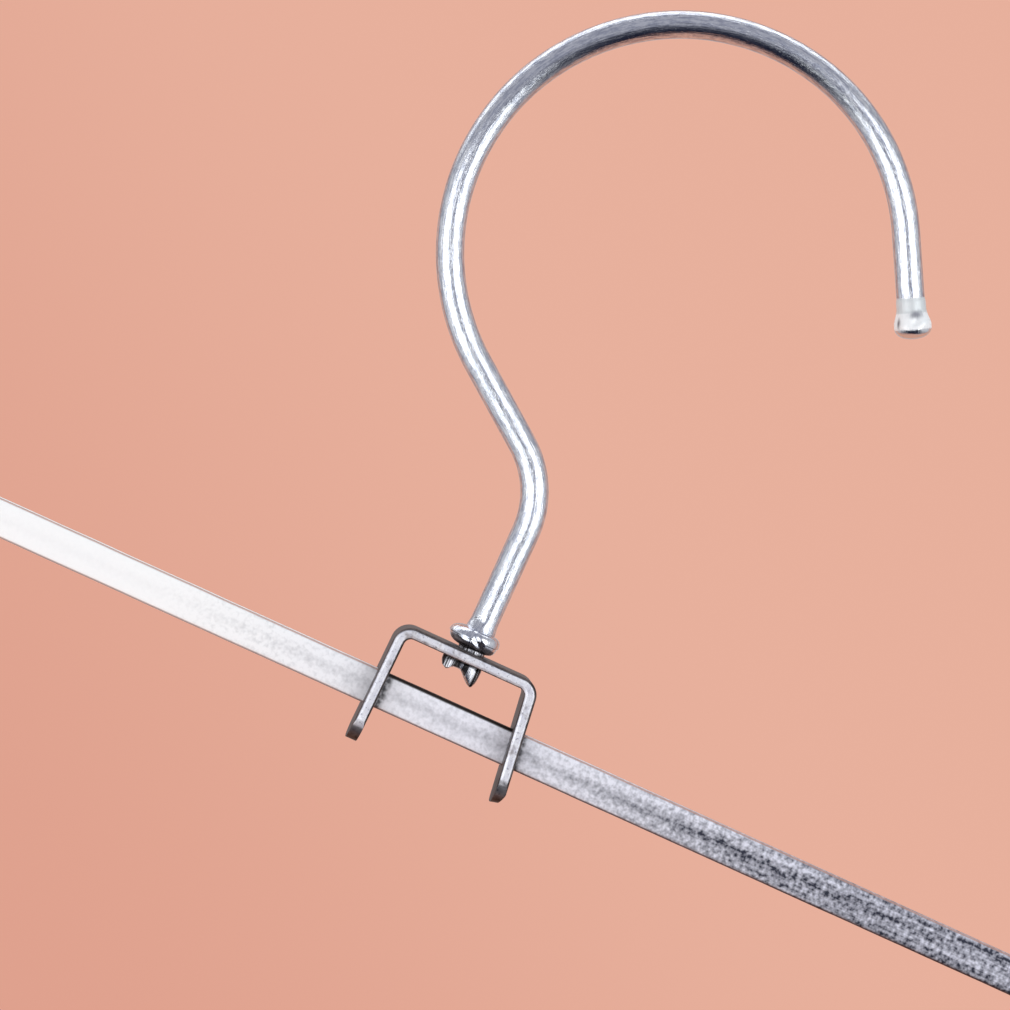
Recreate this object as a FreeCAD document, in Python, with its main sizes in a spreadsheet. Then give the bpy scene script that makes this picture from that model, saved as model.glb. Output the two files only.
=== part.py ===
import FreeCAD, Part
import math
import os
import re

import Sketcher

# Skirt hanger: a wire hook that turns in a folded bracket, a flat bar on edge
# held by that bracket, and two spring clips that slide along the bar.
#
# X runs along the bar, Y from front to back and Z up. The origin is where the
# hook sits on a closet rail: the underside of its bow, on its turning axis.
# Millimetres and degrees.

Vector = FreeCAD.Vector

SIZES = (
    # Hook, one length of wire
    ("wire_d", 3.5, "diameter of the hook wire"),
    ("shank_rise", 16.3, "straight shank above the bracket"),
    ("neck_r", 12.1, "radius of the bend at the neck"),
    ("neck_turn", 53.3, "angle of the bend at the neck"),
    ("neck_run", 11.4, "straight run from the neck to the bow"),
    ("bow_r", 28.1, "radius of the bow"),
    ("bow_turn", 85.3, "angle of the bow"),
    ("crown_r", 28.7, "radius of the crown after the bow"),
    ("crown_turn", 69.0, "angle of the crown"),
    ("shoulder_r", 27.1, "radius of the shoulder after the crown"),
    ("shoulder_turn", 50.2, "angle of the shoulder"),
    ("nose_run", 11.8, "straight nose, to the middle of the ball"),
    ("ball_d", 4.7, "width of the headed ball"),
    ("ball_height", 3.5, "height of the headed ball"),
    ("upset_d", 3.7, "width of the upset wire above the ball"),
    ("upset_height", 3.5, "upset wire above the middle of the ball"),
    ("collar_d", 6.1, "width of the collar bead"),
    ("collar_height", 2.5, "height of the collar bead"),
    ("collar_edge_r", 1.0, "rounding of the collar bead"),
    ("collar_gap", 0.4, "collar bead above the bracket"),
    ("flare_d", 3.9, "width of the shank where it meets the collar"),
    ("flare_height", 1.4, "taper from the collar to the plain wire"),
    ("swivel_fit", 0.08, "room round the wire in the bracket"),
    ("stake_gap", 0.15, "staked end below the strip"),
    ("stake_w", 5.1, "width of the staked end"),
    ("stake_drop", 2.55, "depth of the staked end"),
    ("stake_depth", 2.6, "staked end from front to back"),
    # Bracket, a folded strip
    ("strip_t", 1.4, "thickness of the strip"),
    ("strip_w", 8.0, "width of the strip, front to back"),
    ("strip_edge_r", 0.5, "rounding of the strip's edges"),
    ("bracket_w", 18.8, "outer width of the bracket at its top"),
    ("bracket_shift", 0.1, "bracket off to the left of the hook"),
    ("window_height", 5.15, "clear height between strip and bar"),
    ("leg_below", 4.7, "legs below the bar"),
    ("left_flare", 1.1, "outward lean of the left leg"),
    ("right_flare", 7.1, "outward lean of the right leg"),
    ("bracket_bend_r", 0.9, "inner radius of the bracket's bends"),
    ("leg_tip_r", 3.5, "rounding of the leg tips"),
    ("bracket_fit", 0.05, "room round the bar in the bracket"),
    # Bar
    ("bar_length", 300.0, "length of the bar"),
    ("bar_height", 4.6, "height of the bar"),
    ("bar_t", 2.4, "thickness of the bar"),
    ("bar_edge_r", 0.5, "rounding of the bar's long edges"),
    # End caps
    ("cap_length", 10.0, "length of an end cap"),
    ("cap_wall", 1.1, "wall of an end cap"),
    ("cap_fit", 0.05, "room between cap and bar"),
    ("cap_corner_r", 1.2, "rounding of a cap's long edges"),
    ("cap_end_r", 0.7, "rounding of a cap's closed end"),
    # Clips, folded sheet
    ("clip_inset", 32.0, "clip from the end of the bar"),
    ("clip_w", 22.0, "width of a clip"),
    ("tab_w", 16.0, "width of a finger tab"),
    ("sheet_t", 0.9, "thickness of the sheet, front to back"),
    ("throat", 5.6, "middle of the bar to a wall's inner face"),
    ("tab_top", 12.0, "top of the tabs above the bar's middle"),
    ("tab_flare", 3.0, "how far a tab leans out at its top"),
    ("tab_corner_r", 3.5, "rounding of a tab's corners"),
    ("rear_shoulder", 4.9, "rear wall's top above the bar's middle"),
    ("front_shoulder_drop", 2.6, "front wall's top below the bar's middle"),
    ("front_step_rise", 3.5, "full width of the front wall above the pin"),
    ("wall_drop", 13.0, "bottom of the walls below the bar's middle"),
    ("lip_top_drop", 24.5, "top of the lips below the bar's middle"),
    ("lip_drop", 32.0, "bottom of the lips below the bar's middle"),
    ("sheet_bend_r", 0.8, "inner radius of the sheet's bends"),
    ("ear_margin", 1.6, "metal round the bar's slot in an ear"),
    ("ear_r", 2.8, "metal round the pin in an ear"),
    ("ear_play", 0.3, "room between front and rear ears"),
    ("slide_fit", 0.12, "room round the bar in a clip"),
    # Pivot pins
    ("pivot_drop", 8.6, "pin below the bar's middle"),
    ("pin_d", 2.0, "diameter of the pin"),
    ("pin_fit", 0.04, "room round the pin in an ear"),
    ("head_d", 3.8, "width of a pin head"),
    ("head_t", 0.8, "thickness of a pin head"),
    ("head_edge_r", 0.5, "rounding of a pin head"),
    # Springs
    ("spring_wire", 0.9, "diameter of the spring wire"),
    ("spring_d", 3.9, "mean diameter of the coil"),
    ("spring_pitch", 1.5, "pitch of the coil"),
    ("spring_turns", 3.5, "number of turns"),
    ("leg_rise", 4.0, "tip of a spring leg above the pin"),
    ("leg_bend_r", 1.2, "radius of the bend in a spring leg"),
    ("leg_fit", 0.15, "room round a spring leg in its hole"),
    # Vinyl sleeves on the lips
    ("sleeve_wall", 0.9, "wall of a sleeve"),
    ("sleeve_height", 7.6, "height of a sleeve"),
    ("sleeve_side", 0.8, "sleeve beyond the jaw on each side"),
    ("sleeve_fit", 0.05, "room between sleeve and lip"),
    ("sleeve_corner_r", 0.5, "rounding of a sleeve's long edges"),
    ("grip_gap", 0.2, "gap between closed sleeves"),
    ("rib_depth", 0.3, "depth of a groove in a sleeve"),
    ("rib_w", 0.7, "width of a groove in a sleeve"),
    ("rib_pitch", 1.6, "spacing of the grooves"),
    ("rib_count", 4, "number of grooves in a sleeve"),
)
ALIASES = {alias for alias, number, note in SIZES}

# Outline of the staked wire end seen from the front: a short blunt lug on the
# left, a notch and a long pointed lug on the right. Shares of its width,
# measured from the hook's axis, and of its depth.
STAKE_SHARES = (
    (-0.58, 0.0),
    (-0.57, -0.29),
    (-0.52, -0.49),
    (-0.40, -0.63),
    (-0.28, -0.43),
    (-0.13, -0.49),
    (-0.01, -0.48),
    (0.08, -0.67),
    (0.22, -0.89),
    (0.34, -1.0),
    (0.40, -0.73),
    (0.43, -0.36),
    (0.44, 0.0),
)

doc = FreeCAD.newDocument("skirt_hanger")
sheet = doc.addObject("Spreadsheet::Sheet", "Sizes")
for row, (alias, number, note) in enumerate(SIZES, 1):
    sheet.set(f"A{row}", note)
    sheet.set(f"B{row}", str(number))
    sheet.setAlias(f"B{row}", alias)
doc.recompute()

# Derived sizes, as formulas in the sheet's words
BOW_X = "((neck_r + bow_r) * cos(neck_turn) - neck_r - neck_run * sin(neck_turn))"
BOW_Z = "(shank_rise + (neck_r + bow_r) * sin(neck_turn) + neck_run * cos(neck_turn))"
CROWN_X = f"({BOW_X} + (crown_r - bow_r) * cos(bow_turn - neck_turn))"
CROWN_Z = f"({BOW_Z} - (crown_r - bow_r) * sin(bow_turn - neck_turn))"
HOOK_DROP = f"({CROWN_Z} + sqrt((crown_r - wire_d / 2) ^ 2 - {CROWN_X} ^ 2))"
CLIP_STATION = "(bar_length / 2 - clip_inset)"
BAR_DROP = f"({HOOK_DROP} + strip_t + window_height + bar_height / 2)"
STAKE_TOP = "(-strip_t - stake_gap)"
LEG_LENGTH = "(strip_t + window_height + bar_height + leg_below)"
LIP_Y = "(grip_gap / 2 + sleeve_wall + sleeve_fit)"
PIVOT_Z = "(-pivot_drop)"
EAR_FRONT = "(bar_t / 2 + slide_fit + ear_margin)"
EAR_TOP = "(bar_height / 2 + slide_fit + ear_margin)"
FRONT_EAR_X = "(clip_w / 2 - sheet_t - ear_play - sheet_t)"
LEG_X = "(spring_turns * spring_pitch / 2 + leg_rise * spring_pitch / (pi * spring_d))"
SLEEVE_BOTTOM = "(-lip_drop - sleeve_fit - sleeve_wall)"
SLEEVE_BACK = f"({LIP_Y} + sheet_t + sleeve_fit + sleeve_wall)"


def formula(words):
    """Turn a formula in the sheet's words into an expression."""
    def cell(match):
        word = match.group()
        return f"Sizes.{word}" if word in ALIASES else word
    return re.sub(r"[a-z_]\w*", cell, words)


def size(words):
    """Value of a formula in the sheet's words."""
    return float(sheet.evalExpression(formula(words)))


def bind(thing, place, words):
    thing.setExpression(place, formula(words))


def new_body(name, x="0", y="0", z="0", turn=None):
    body = doc.addObject("PartDesign::Body", name)
    body.Label = name
    if turn:
        body.Placement.Rotation = FreeCAD.Rotation(Vector(0, 0, 1), turn)
    for axis, words in zip("xyz", (x, y, z)):
        bind(body, f"Placement.Base.{axis}", words)
    return body


def origin_plane(body, role):
    for feature in body.Origin.OriginFeatures:
        if feature.Role == role:
            return feature


def new_sketch(body, name, role, offset=None):
    """Sketch on an origin plane, moved along that plane's normal."""
    sketch = body.newObject("Sketcher::SketchObject", name)
    sketch.AttachmentSupport = [(origin_plane(body, role), "")]
    sketch.MapMode = "FlatFace"
    if offset:
        bind(sketch, "AttachmentOffset.Base.z", offset)
    return sketch


def fix_point(sketch, geometry, vertex, x, y):
    """Tie a sketch point to two formulas, measured from the sketch's origin."""
    for kind, words in (("DistanceX", x), ("DistanceY", y)):
        number = sketch.addConstraint(
            Sketcher.Constraint(kind, -1, 1, geometry, vertex, size(words)))
        bind(sketch, f"Constraints[{number}]", words)


def add_arc(sketch, start, middle, finish):
    """Arc through three points, with the numbers of its first and last vertex."""
    turn = (middle - start).cross(finish - middle)
    if turn.z > 0:
        return sketch.addGeometry(Part.Arc(start, middle, finish), False), 1, 2
    return sketch.addGeometry(Part.Arc(finish, middle, start), False), 2, 1


def add_outline(sketch, corners):
    """Closed outline through corners (x, y) or rounded corners (x, y, radius)."""
    places = [Vector(size(corner[0]), size(corner[1])) for corner in corners]
    radii = [corner[2] if len(corner) > 2 else None for corner in corners]
    count = len(corners)
    ends = []
    for index, place in enumerate(places):
        before = (places[index - 1] - place).normalize()
        after = (places[(index + 1) % count] - place).normalize()
        reach = 0.0
        if radii[index]:
            reach = size(radii[index]) / math.tan(before.getAngle(after) / 2)
        ends.append((place + before * reach, place + after * reach))
    lines = []
    for index in range(count):
        start = ends[index][1]
        finish = ends[(index + 1) % count][0]
        lines.append(sketch.addGeometry(Part.LineSegment(start, finish), False))
    for index, corner in enumerate(corners):
        incoming = lines[index - 1]
        outgoing = lines[index]
        if not radii[index]:
            sketch.addConstraint(Sketcher.Constraint("Coincident", incoming, 2, outgoing, 1))
            fix_point(sketch, outgoing, 1, corner[0], corner[1])
            continue
        radius = size(radii[index])
        start, finish = ends[index]
        inward = (start + finish) * 0.5 - places[index]
        middle = inward.Length + math.sqrt(radius ** 2 - (finish - start).Length ** 2 / 4)
        summit = places[index] + inward.normalize() * (middle - radius)
        arc, first, last = add_arc(sketch, start, summit, finish)
        tip = sketch.addGeometry(Part.Point(places[index]), True)
        fix_point(sketch, tip, 1, corner[0], corner[1])
        for constraint in (
            Sketcher.Constraint("Tangent", incoming, 2, arc, first),
            Sketcher.Constraint("Tangent", outgoing, 1, arc, last),
            Sketcher.Constraint("PointOnObject", tip, 1, incoming),
            Sketcher.Constraint("PointOnObject", tip, 1, outgoing),
        ):
            sketch.addConstraint(constraint)
        number = sketch.addConstraint(Sketcher.Constraint("Radius", arc, radius))
        bind(sketch, f"Constraints[{number}]", radii[index])


def add_corner_cut(sketch, x, y, x_side, y_side, radius, over):
    """Waste outside a rounded corner, reaching a little over on every side."""
    x_in = f"{x} - {x_side} * ({radius} + {over})"
    x_out = f"{x} + {x_side} * {over}"
    y_in = f"{y} - {y_side} * ({radius} + {over})"
    y_out = f"{y} + {y_side} * {over}"
    add_outline(sketch, (
        (x, y_in), (x, y, radius), (x_in, y), (x_in, y_out), (x_out, y_out), (x_out, y_in)))


def add_circle(sketch, x, y, radius):
    circle = Part.Circle(Vector(size(x), size(y)), Vector(0, 0, 1), size(radius))
    geometry = sketch.addGeometry(circle, False)
    fix_point(sketch, geometry, 3, x, y)
    number = sketch.addConstraint(Sketcher.Constraint("Radius", geometry, size(radius)))
    bind(sketch, f"Constraints[{number}]", radius)


def add_pad(body, name, sketch, length, midplane=False, reverse=False):
    pad = body.newObject("PartDesign::Pad", name)
    pad.Profile = sketch
    pad.Midplane = midplane
    pad.Reversed = reverse
    bind(pad, "Length", length)
    doc.recompute()
    return pad


def cut_through(body, name, sketch):
    """Cut a sketch both ways through the body, and make sure that it cuts."""
    doc.recompute()
    before = body.Shape.Volume
    pocket = body.newObject("PartDesign::Pocket", name)
    pocket.Profile = sketch
    pocket.Type = "ThroughAll"
    pocket.Midplane = True
    doc.recompute()
    if not body.Shape.Volume < before:
        raise RuntimeError(f"{body.Label}: {name} cuts nothing")
    return pocket


def cut_to_length(body, name, sketch, length, midplane=False):
    doc.recompute()
    before = body.Shape.Volume
    pocket = body.newObject("PartDesign::Pocket", name)
    pocket.Profile = sketch
    pocket.Midplane = midplane
    bind(pocket, "Length", length)
    doc.recompute()
    if not body.Shape.Volume < before:
        raise RuntimeError(f"{body.Label}: {name} cuts nothing")
    return pocket


def mirror_across(body, name, role, features):
    mirror = body.newObject("PartDesign::Mirrored", name)
    mirror.Originals = features
    mirror.MirrorPlane = (origin_plane(body, role), [""])
    body.Tip = mirror
    doc.recompute()
    return mirror


def round_edges(body, name, radius, wanted):
    """Round the edges whose middle point and direction pass a test."""
    doc.recompute()
    base = body.Tip
    names = []
    for number, edge in enumerate(base.Shape.Edges, 1):
        first = edge.valueAt(edge.FirstParameter)
        last = edge.valueAt(edge.LastParameter)
        along = last - first
        if along.Length == 0:
            continue
        middle = edge.valueAt((edge.FirstParameter + edge.LastParameter) / 2)
        if wanted(middle, along.normalize()):
            names.append(f"Edge{number}")
    if not names:
        raise RuntimeError(f"{body.Label}: {name} finds no edge")
    fillet = body.newObject("PartDesign::Fillet", name)
    fillet.Base = (base, names)
    bind(fillet, "Radius", radius)
    doc.recompute()
    return fillet


def near(number, words):
    """Whether a coordinate is at a formula's value, within a share of the sheet."""
    near_share = 0.02
    return abs(number - size(words)) < near_share * size("sheet_t")


# Hook

def add_spine(sketch):
    """Middle line of the hook wire: shank, neck, run, bow, crown, shoulder and nose."""
    def ahead(heading):
        angle = math.radians(heading)
        return Vector(math.sin(angle), math.cos(angle), 0)

    def aside(heading):
        angle = math.radians(heading)
        return Vector(math.cos(angle), -math.sin(angle), 0)

    place = Vector(0, size(f"{STAKE_TOP} - stake_drop / 3"), 0)
    heading = 0.0
    steps = (
        ("run", f"shank_rise - {STAKE_TOP} + stake_drop / 3", None),
        ("left", "neck_r", "neck_turn"),
        ("run", "neck_run", None),
        ("right", "bow_r", "bow_turn"),
        ("right", "crown_r", "crown_turn"),
        ("right", "shoulder_r", "shoulder_turn"),
        ("run", "nose_run", None),
    )
    ends = []
    for kind, length, turn in steps:
        if kind == "run":
            goal = place + ahead(heading) * size(length)
            geometry = sketch.addGeometry(Part.LineSegment(place, goal), False)
            number = sketch.addConstraint(
                Sketcher.Constraint("Distance", geometry, size(length)))
            bind(sketch, f"Constraints[{number}]", length)
            ends.append((geometry, 1, 2))
            place = goal
            continue
        side = 1 if kind == "right" else -1
        centre = place + aside(heading) * side * size(length)
        angle = size(turn)
        points = []
        for share in (0.5, 1.0):
            at = heading + side * angle * share
            points.append(centre - aside(at) * side * size(length))
        geometry, first, last = add_arc(sketch, place, points[0], points[1])
        number = sketch.addConstraint(Sketcher.Constraint("Radius", geometry, size(length)))
        bind(sketch, f"Constraints[{number}]", length)
        number = sketch.addConstraint(
            Sketcher.Constraint("Angle", geometry, math.radians(angle)))
        bind(sketch, f"Constraints[{number}]", f"{turn} * 1 deg")
        ends.append((geometry, first, last))
        place = points[1]
        heading += side * angle
    for one, two in zip(ends, ends[1:]):
        sketch.addConstraint(Sketcher.Constraint("Tangent", one[0], one[2], two[0], two[1]))
    sketch.addConstraint(Sketcher.Constraint("Vertical", ends[0][0]))
    fix_point(sketch, ends[0][0], 1, "0", f"{STAKE_TOP} - stake_drop / 3")


def make_hook():
    body = new_body("hook", z=f"-{HOOK_DROP}")
    spine = new_sketch(body, "hook_line", "XZ_Plane")
    add_spine(spine)
    ring = new_sketch(body, "hook_wire", "XY_Plane", f"{STAKE_TOP} - stake_drop / 3")
    add_circle(ring, "0", "0", "wire_d / 2")
    doc.recompute()
    wire = body.newObject("PartDesign::AdditivePipe", "hook_bend")
    wire.Profile = ring
    wire.Spine = spine
    doc.recompute()

    bead = new_sketch(body, "collar_outline", "XZ_Plane")
    top = "(collar_gap + collar_height)"
    add_outline(bead, (
        ("0", "collar_gap"),
        ("collar_d / 2", "collar_gap", "collar_edge_r"),
        ("collar_d / 2", top, "collar_edge_r"),
        ("flare_d / 2", top),
        ("wire_d / 2", f"{top} + flare_height"),
        ("0", f"{top} + flare_height"),
    ))
    collar = body.newObject("PartDesign::Revolution", "collar")
    collar.Profile = bead
    collar.ReferenceAxis = (bead, ["V_Axis"])
    collar.Angle = 360
    doc.recompute()

    lugs = new_sketch(body, "stake_outline", "XZ_Plane")
    add_outline(lugs, [
        (f"{x_share} * stake_w", f"{STAKE_TOP} + {z_share} * stake_drop")
        for x_share, z_share in STAKE_SHARES
    ])
    add_pad(body, "stake", lugs, "stake_depth", midplane=True)

    for kind, name in (("Cylinder", "nose_upset"), ("Ellipsoid", "nose_ball")):
        solid = body.newObject(f"PartDesign::Additive{kind}", name)
        solid.AttachmentSupport = [(spine, f"Edge{len(spine.Shape.Edges)}")]
        solid.MapMode = "NormalToEdge"
        solid.MapPathParameter = 1.0
        if kind == "Cylinder":
            bind(solid, "Radius", "upset_d / 2")
            bind(solid, "Height", "upset_height")
        else:
            bind(solid, "Radius1", "ball_height / 2")
            bind(solid, "Radius2", "ball_d / 2")
            bind(solid, "Radius3", "ball_d / 2")
        doc.recompute()
    return body


# Bracket

def bracket_corners():
    """Outline of the folded strip, seen from the front."""
    left_top = "bracket_w / 2 + bracket_shift"
    right_top = "bracket_w / 2 - bracket_shift"
    left_tip = f"{left_top} + {LEG_LENGTH} * tan(left_flare)"
    right_tip = f"{right_top} + {LEG_LENGTH} * tan(right_flare)"
    outside = "bracket_bend_r + strip_t"
    inside = "bracket_bend_r"
    return (
        (f"-({left_top})", "0", outside),
        (right_top, "0", outside),
        (right_tip, f"-{LEG_LENGTH}"),
        (f"{right_tip} - strip_t", f"-{LEG_LENGTH}"),
        (f"{right_top} - strip_t", "-strip_t", inside),
        (f"-({left_top}) + strip_t", "-strip_t", inside),
        (f"-({left_tip}) + strip_t", f"-{LEG_LENGTH}"),
        (f"-({left_tip})", f"-{LEG_LENGTH}"),
    )


def make_bracket():
    body = new_body("bracket", z=f"-{HOOK_DROP}")
    outline = new_sketch(body, "bracket_outline", "XZ_Plane")
    add_outline(outline, bracket_corners())
    add_pad(body, "bracket_strip", outline, "strip_w", midplane=True)
    half = "strip_w / 2"
    round_edges(body, "strip_edges", "strip_edge_r",
                lambda at, way: near(at.y, half) or near(at.y, f"-{half}"))

    hole = new_sketch(body, "swivel_hole", "XY_Plane")
    add_circle(hole, "0", "0", "wire_d / 2 + swivel_fit")
    cut_through(body, "swivel_cut", hole)

    slot = new_sketch(body, "bar_slot", "YZ_Plane")
    half = "bar_t / 2 + bracket_fit"
    top = "-strip_t - window_height + bracket_fit"
    bottom = "-strip_t - window_height - bar_height - bracket_fit"
    add_outline(slot, (
        (f"-({half})", bottom), (half, bottom), (half, top), (f"-({half})", top)))
    cut_through(body, "bar_cut", slot)

    tips = new_sketch(body, "leg_tip_outline", "YZ_Plane")
    for side in (-1, 1):
        add_corner_cut(tips, f"{side} * strip_w / 2", f"-{LEG_LENGTH}", side, -1,
                       "leg_tip_r", "strip_t")
    cut_through(body, "leg_tip_cut", tips)
    return body


# Bar and its end caps

def make_bar():
    body = new_body("bar", z=f"-{BAR_DROP}")
    section = new_sketch(body, "bar_section", "YZ_Plane")
    y = "bar_t / 2"
    z = "bar_height / 2"
    round_off = "bar_edge_r"
    add_outline(section, (
        (f"-{y}", f"-{z}", round_off), (y, f"-{z}", round_off),
        (y, z, round_off), (f"-{y}", z, round_off)))
    add_pad(body, "bar_length", section, "bar_length", midplane=True)
    return body


def make_end_cap(name, side):
    """Vinyl cap: closed end outward, pushed over the end of the bar."""
    end = "bar_length / 2 + cap_fit + cap_wall"
    body = new_body(name, x=f"{side} * ({end})", z=f"-{BAR_DROP}", turn=0 if side > 0 else 180)
    shell = new_sketch(body, f"{name}_outside", "YZ_Plane")
    y = "bar_t / 2 + cap_fit + cap_wall"
    z = "bar_height / 2 + cap_fit + cap_wall"
    round_off = "cap_corner_r"
    add_outline(shell, (
        (f"-({y})", f"-({z})", round_off), (y, f"-({z})", round_off),
        (y, z, round_off), (f"-({y})", z, round_off)))
    add_pad(body, f"{name}_block", shell, "cap_length", reverse=True)
    round_edges(body, f"{name}_end", "cap_end_r", lambda at, way: near(at.x, "0"))
    hollow = new_sketch(body, f"{name}_inside", "YZ_Plane", "-cap_wall")
    y = "bar_t / 2 + cap_fit"
    z = "bar_height / 2 + cap_fit"
    add_outline(hollow, (
        (f"-({y})", f"-({z})"), (y, f"-({z})"), (y, z), (f"-({y})", z)))
    cut_to_length(body, f"{name}_socket", hollow, "cap_length")
    return body


# Spring clips. Each piece is drawn about the middle of the bar.

def clip_body(name, side):
    return new_body(name, x=f"{side} * {CLIP_STATION}", z=f"-{BAR_DROP}")


def add_tab(body, name, side, bottom):
    """Finger tab: a straight leaf that leans out from the top of the wall."""
    leaf = new_sketch(body, f"{name}_tab_outline", "YZ_Plane")
    low = f"({bottom})"
    inner = "throat"
    outer = "(throat + sheet_t)"
    add_outline(leaf, (
        (f"{side} * {inner}", low),
        (f"{side} * ({inner} + tab_flare)", "tab_top"),
        (f"{side} * ({outer} + tab_flare)", "tab_top"),
        (f"{side} * {outer}", low),
    ))
    add_pad(body, f"{name}_tab", leaf, "tab_w", midplane=True)
    corners = new_sketch(body, f"{name}_tab_corner_outline", "XZ_Plane")
    for hand in (-1, 1):
        add_corner_cut(corners, f"{hand} * tab_w / 2", "tab_top", hand, 1,
                       "tab_corner_r", "sheet_t")
    cut_through(body, f"{name}_tab_corners", corners)


def add_jaw_plate(body, name, side, top):
    """Wall, slanting jaw and upright lip, folded from one leaf."""
    leaf = new_sketch(body, f"{name}_plate_outline", "YZ_Plane")
    inside = "sheet_bend_r"
    outside = "sheet_bend_r + sheet_t"
    add_outline(leaf, (
        (f"{side} * throat", top),
        (f"{side} * throat", "-wall_drop", inside),
        (f"{side} * {LIP_Y}", "-lip_top_drop", outside),
        (f"{side} * {LIP_Y}", "-lip_drop"),
        (f"{side} * ({LIP_Y} + sheet_t)", "-lip_drop"),
        (f"{side} * ({LIP_Y} + sheet_t)", "-lip_top_drop", inside),
        (f"{side} * (throat + sheet_t)", "-wall_drop", outside),
        (f"{side} * (throat + sheet_t)", top),
    ))
    add_pad(body, f"{name}_plate", leaf, "clip_w", midplane=True)


def add_pin_holes(body, name):
    holes = new_sketch(body, f"{name}_pin_outline", "YZ_Plane")
    add_circle(holes, "0", PIVOT_Z, "pin_d / 2 + pin_fit")
    cut_through(body, f"{name}_pin_holes", holes)


def add_leg_hole(body, name, side):
    hole = new_sketch(body, f"{name}_leg_outline", "XZ_Plane")
    add_circle(hole, f"-{side} * {LEG_X}", f"{PIVOT_Z} + leg_rise", "spring_wire / 2 + leg_fit")
    cut_through(body, f"{name}_leg_hole", hole)


def make_rear_jaw(hand, side):
    name = f"{hand}_rear_jaw"
    body = clip_body(name, side)
    add_jaw_plate(body, name, 1, "rear_shoulder")
    add_tab(body, name, 1, "rear_shoulder")
    ear = new_sketch(body, f"{name}_ear_outline", "YZ_Plane", "clip_w / 2 - sheet_t")
    low = f"{PIVOT_Z} - ear_r"
    add_outline(ear, (
        ("throat + sheet_t / 2", low),
        (f"-{EAR_FRONT}", low, "ear_margin"),
        (f"-{EAR_FRONT}", EAR_TOP, "ear_margin"),
        ("throat + sheet_t / 2", EAR_TOP),
    ))
    flap = add_pad(body, f"{name}_ear", ear, "sheet_t")
    mirror_across(body, f"{name}_ears", "YZ_Plane", [flap])
    slot = new_sketch(body, f"{name}_slot_outline", "YZ_Plane")
    y = "bar_t / 2 + slide_fit"
    z = "bar_height / 2 + slide_fit"
    add_outline(slot, (
        (f"-({y})", f"-({z})"), (y, f"-({z})"), (y, z), (f"-({y})", z)))
    cut_through(body, f"{name}_slot", slot)
    add_pin_holes(body, name)
    add_leg_hole(body, name, 1)
    return body


def make_front_jaw(hand, side):
    name = f"{hand}_front_jaw"
    body = clip_body(name, side)
    step = f"{PIVOT_Z} + front_step_rise"
    add_jaw_plate(body, name, -1, step)
    neck = new_sketch(body, f"{name}_neck_outline", "YZ_Plane")
    add_outline(neck, (
        ("-throat", step),
        ("-throat", "-front_shoulder_drop"),
        ("-(throat + sheet_t)", "-front_shoulder_drop"),
        ("-(throat + sheet_t)", step),
    ))
    add_pad(body, f"{name}_neck", neck, "tab_w", midplane=True)
    add_tab(body, name, -1, "-front_shoulder_drop")
    ear = new_sketch(body, f"{name}_ear_outline", "YZ_Plane", FRONT_EAR_X)
    almost_round_share = 0.96
    round_off = f"{almost_round_share} * ear_r"
    add_outline(ear, (
        ("-(throat + sheet_t / 2)", f"{PIVOT_Z} - ear_r"),
        ("ear_r", f"{PIVOT_Z} - ear_r", round_off),
        ("ear_r", f"{PIVOT_Z} + ear_r", round_off),
        ("-(throat + sheet_t / 2)", f"{PIVOT_Z} + ear_r"),
    ))
    flap = add_pad(body, f"{name}_ear", ear, "sheet_t")
    mirror_across(body, f"{name}_ears", "YZ_Plane", [flap])
    add_pin_holes(body, name)
    add_leg_hole(body, name, -1)
    return body


def make_pivot_pin(hand, side):
    """Rivet through the four ears, with a rounded head at each end."""
    name = f"{hand}_pivot_pin"
    body = new_body(name, x=f"{side} * {CLIP_STATION}", z=f"-{BAR_DROP} + {PIVOT_Z}")
    half = new_sketch(body, f"{name}_outline", "XZ_Plane")
    neck = "(clip_w / 2 + pin_fit)"
    end = f"({neck} + head_t)"
    add_outline(half, (
        (f"-{end}", "0"),
        (end, "0"),
        (end, "head_d / 2", "head_edge_r"),
        (neck, "head_d / 2"),
        (neck, "pin_d / 2"),
        (f"-{neck}", "pin_d / 2"),
        (f"-{neck}", "head_d / 2"),
        (f"-{end}", "head_d / 2", "head_edge_r"),
    ))
    turned = body.newObject("PartDesign::Revolution", f"{name}_turned")
    turned.Profile = half
    turned.ReferenceAxis = (half, ["H_Axis"])
    turned.Angle = 360
    doc.recompute()
    return body


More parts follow.
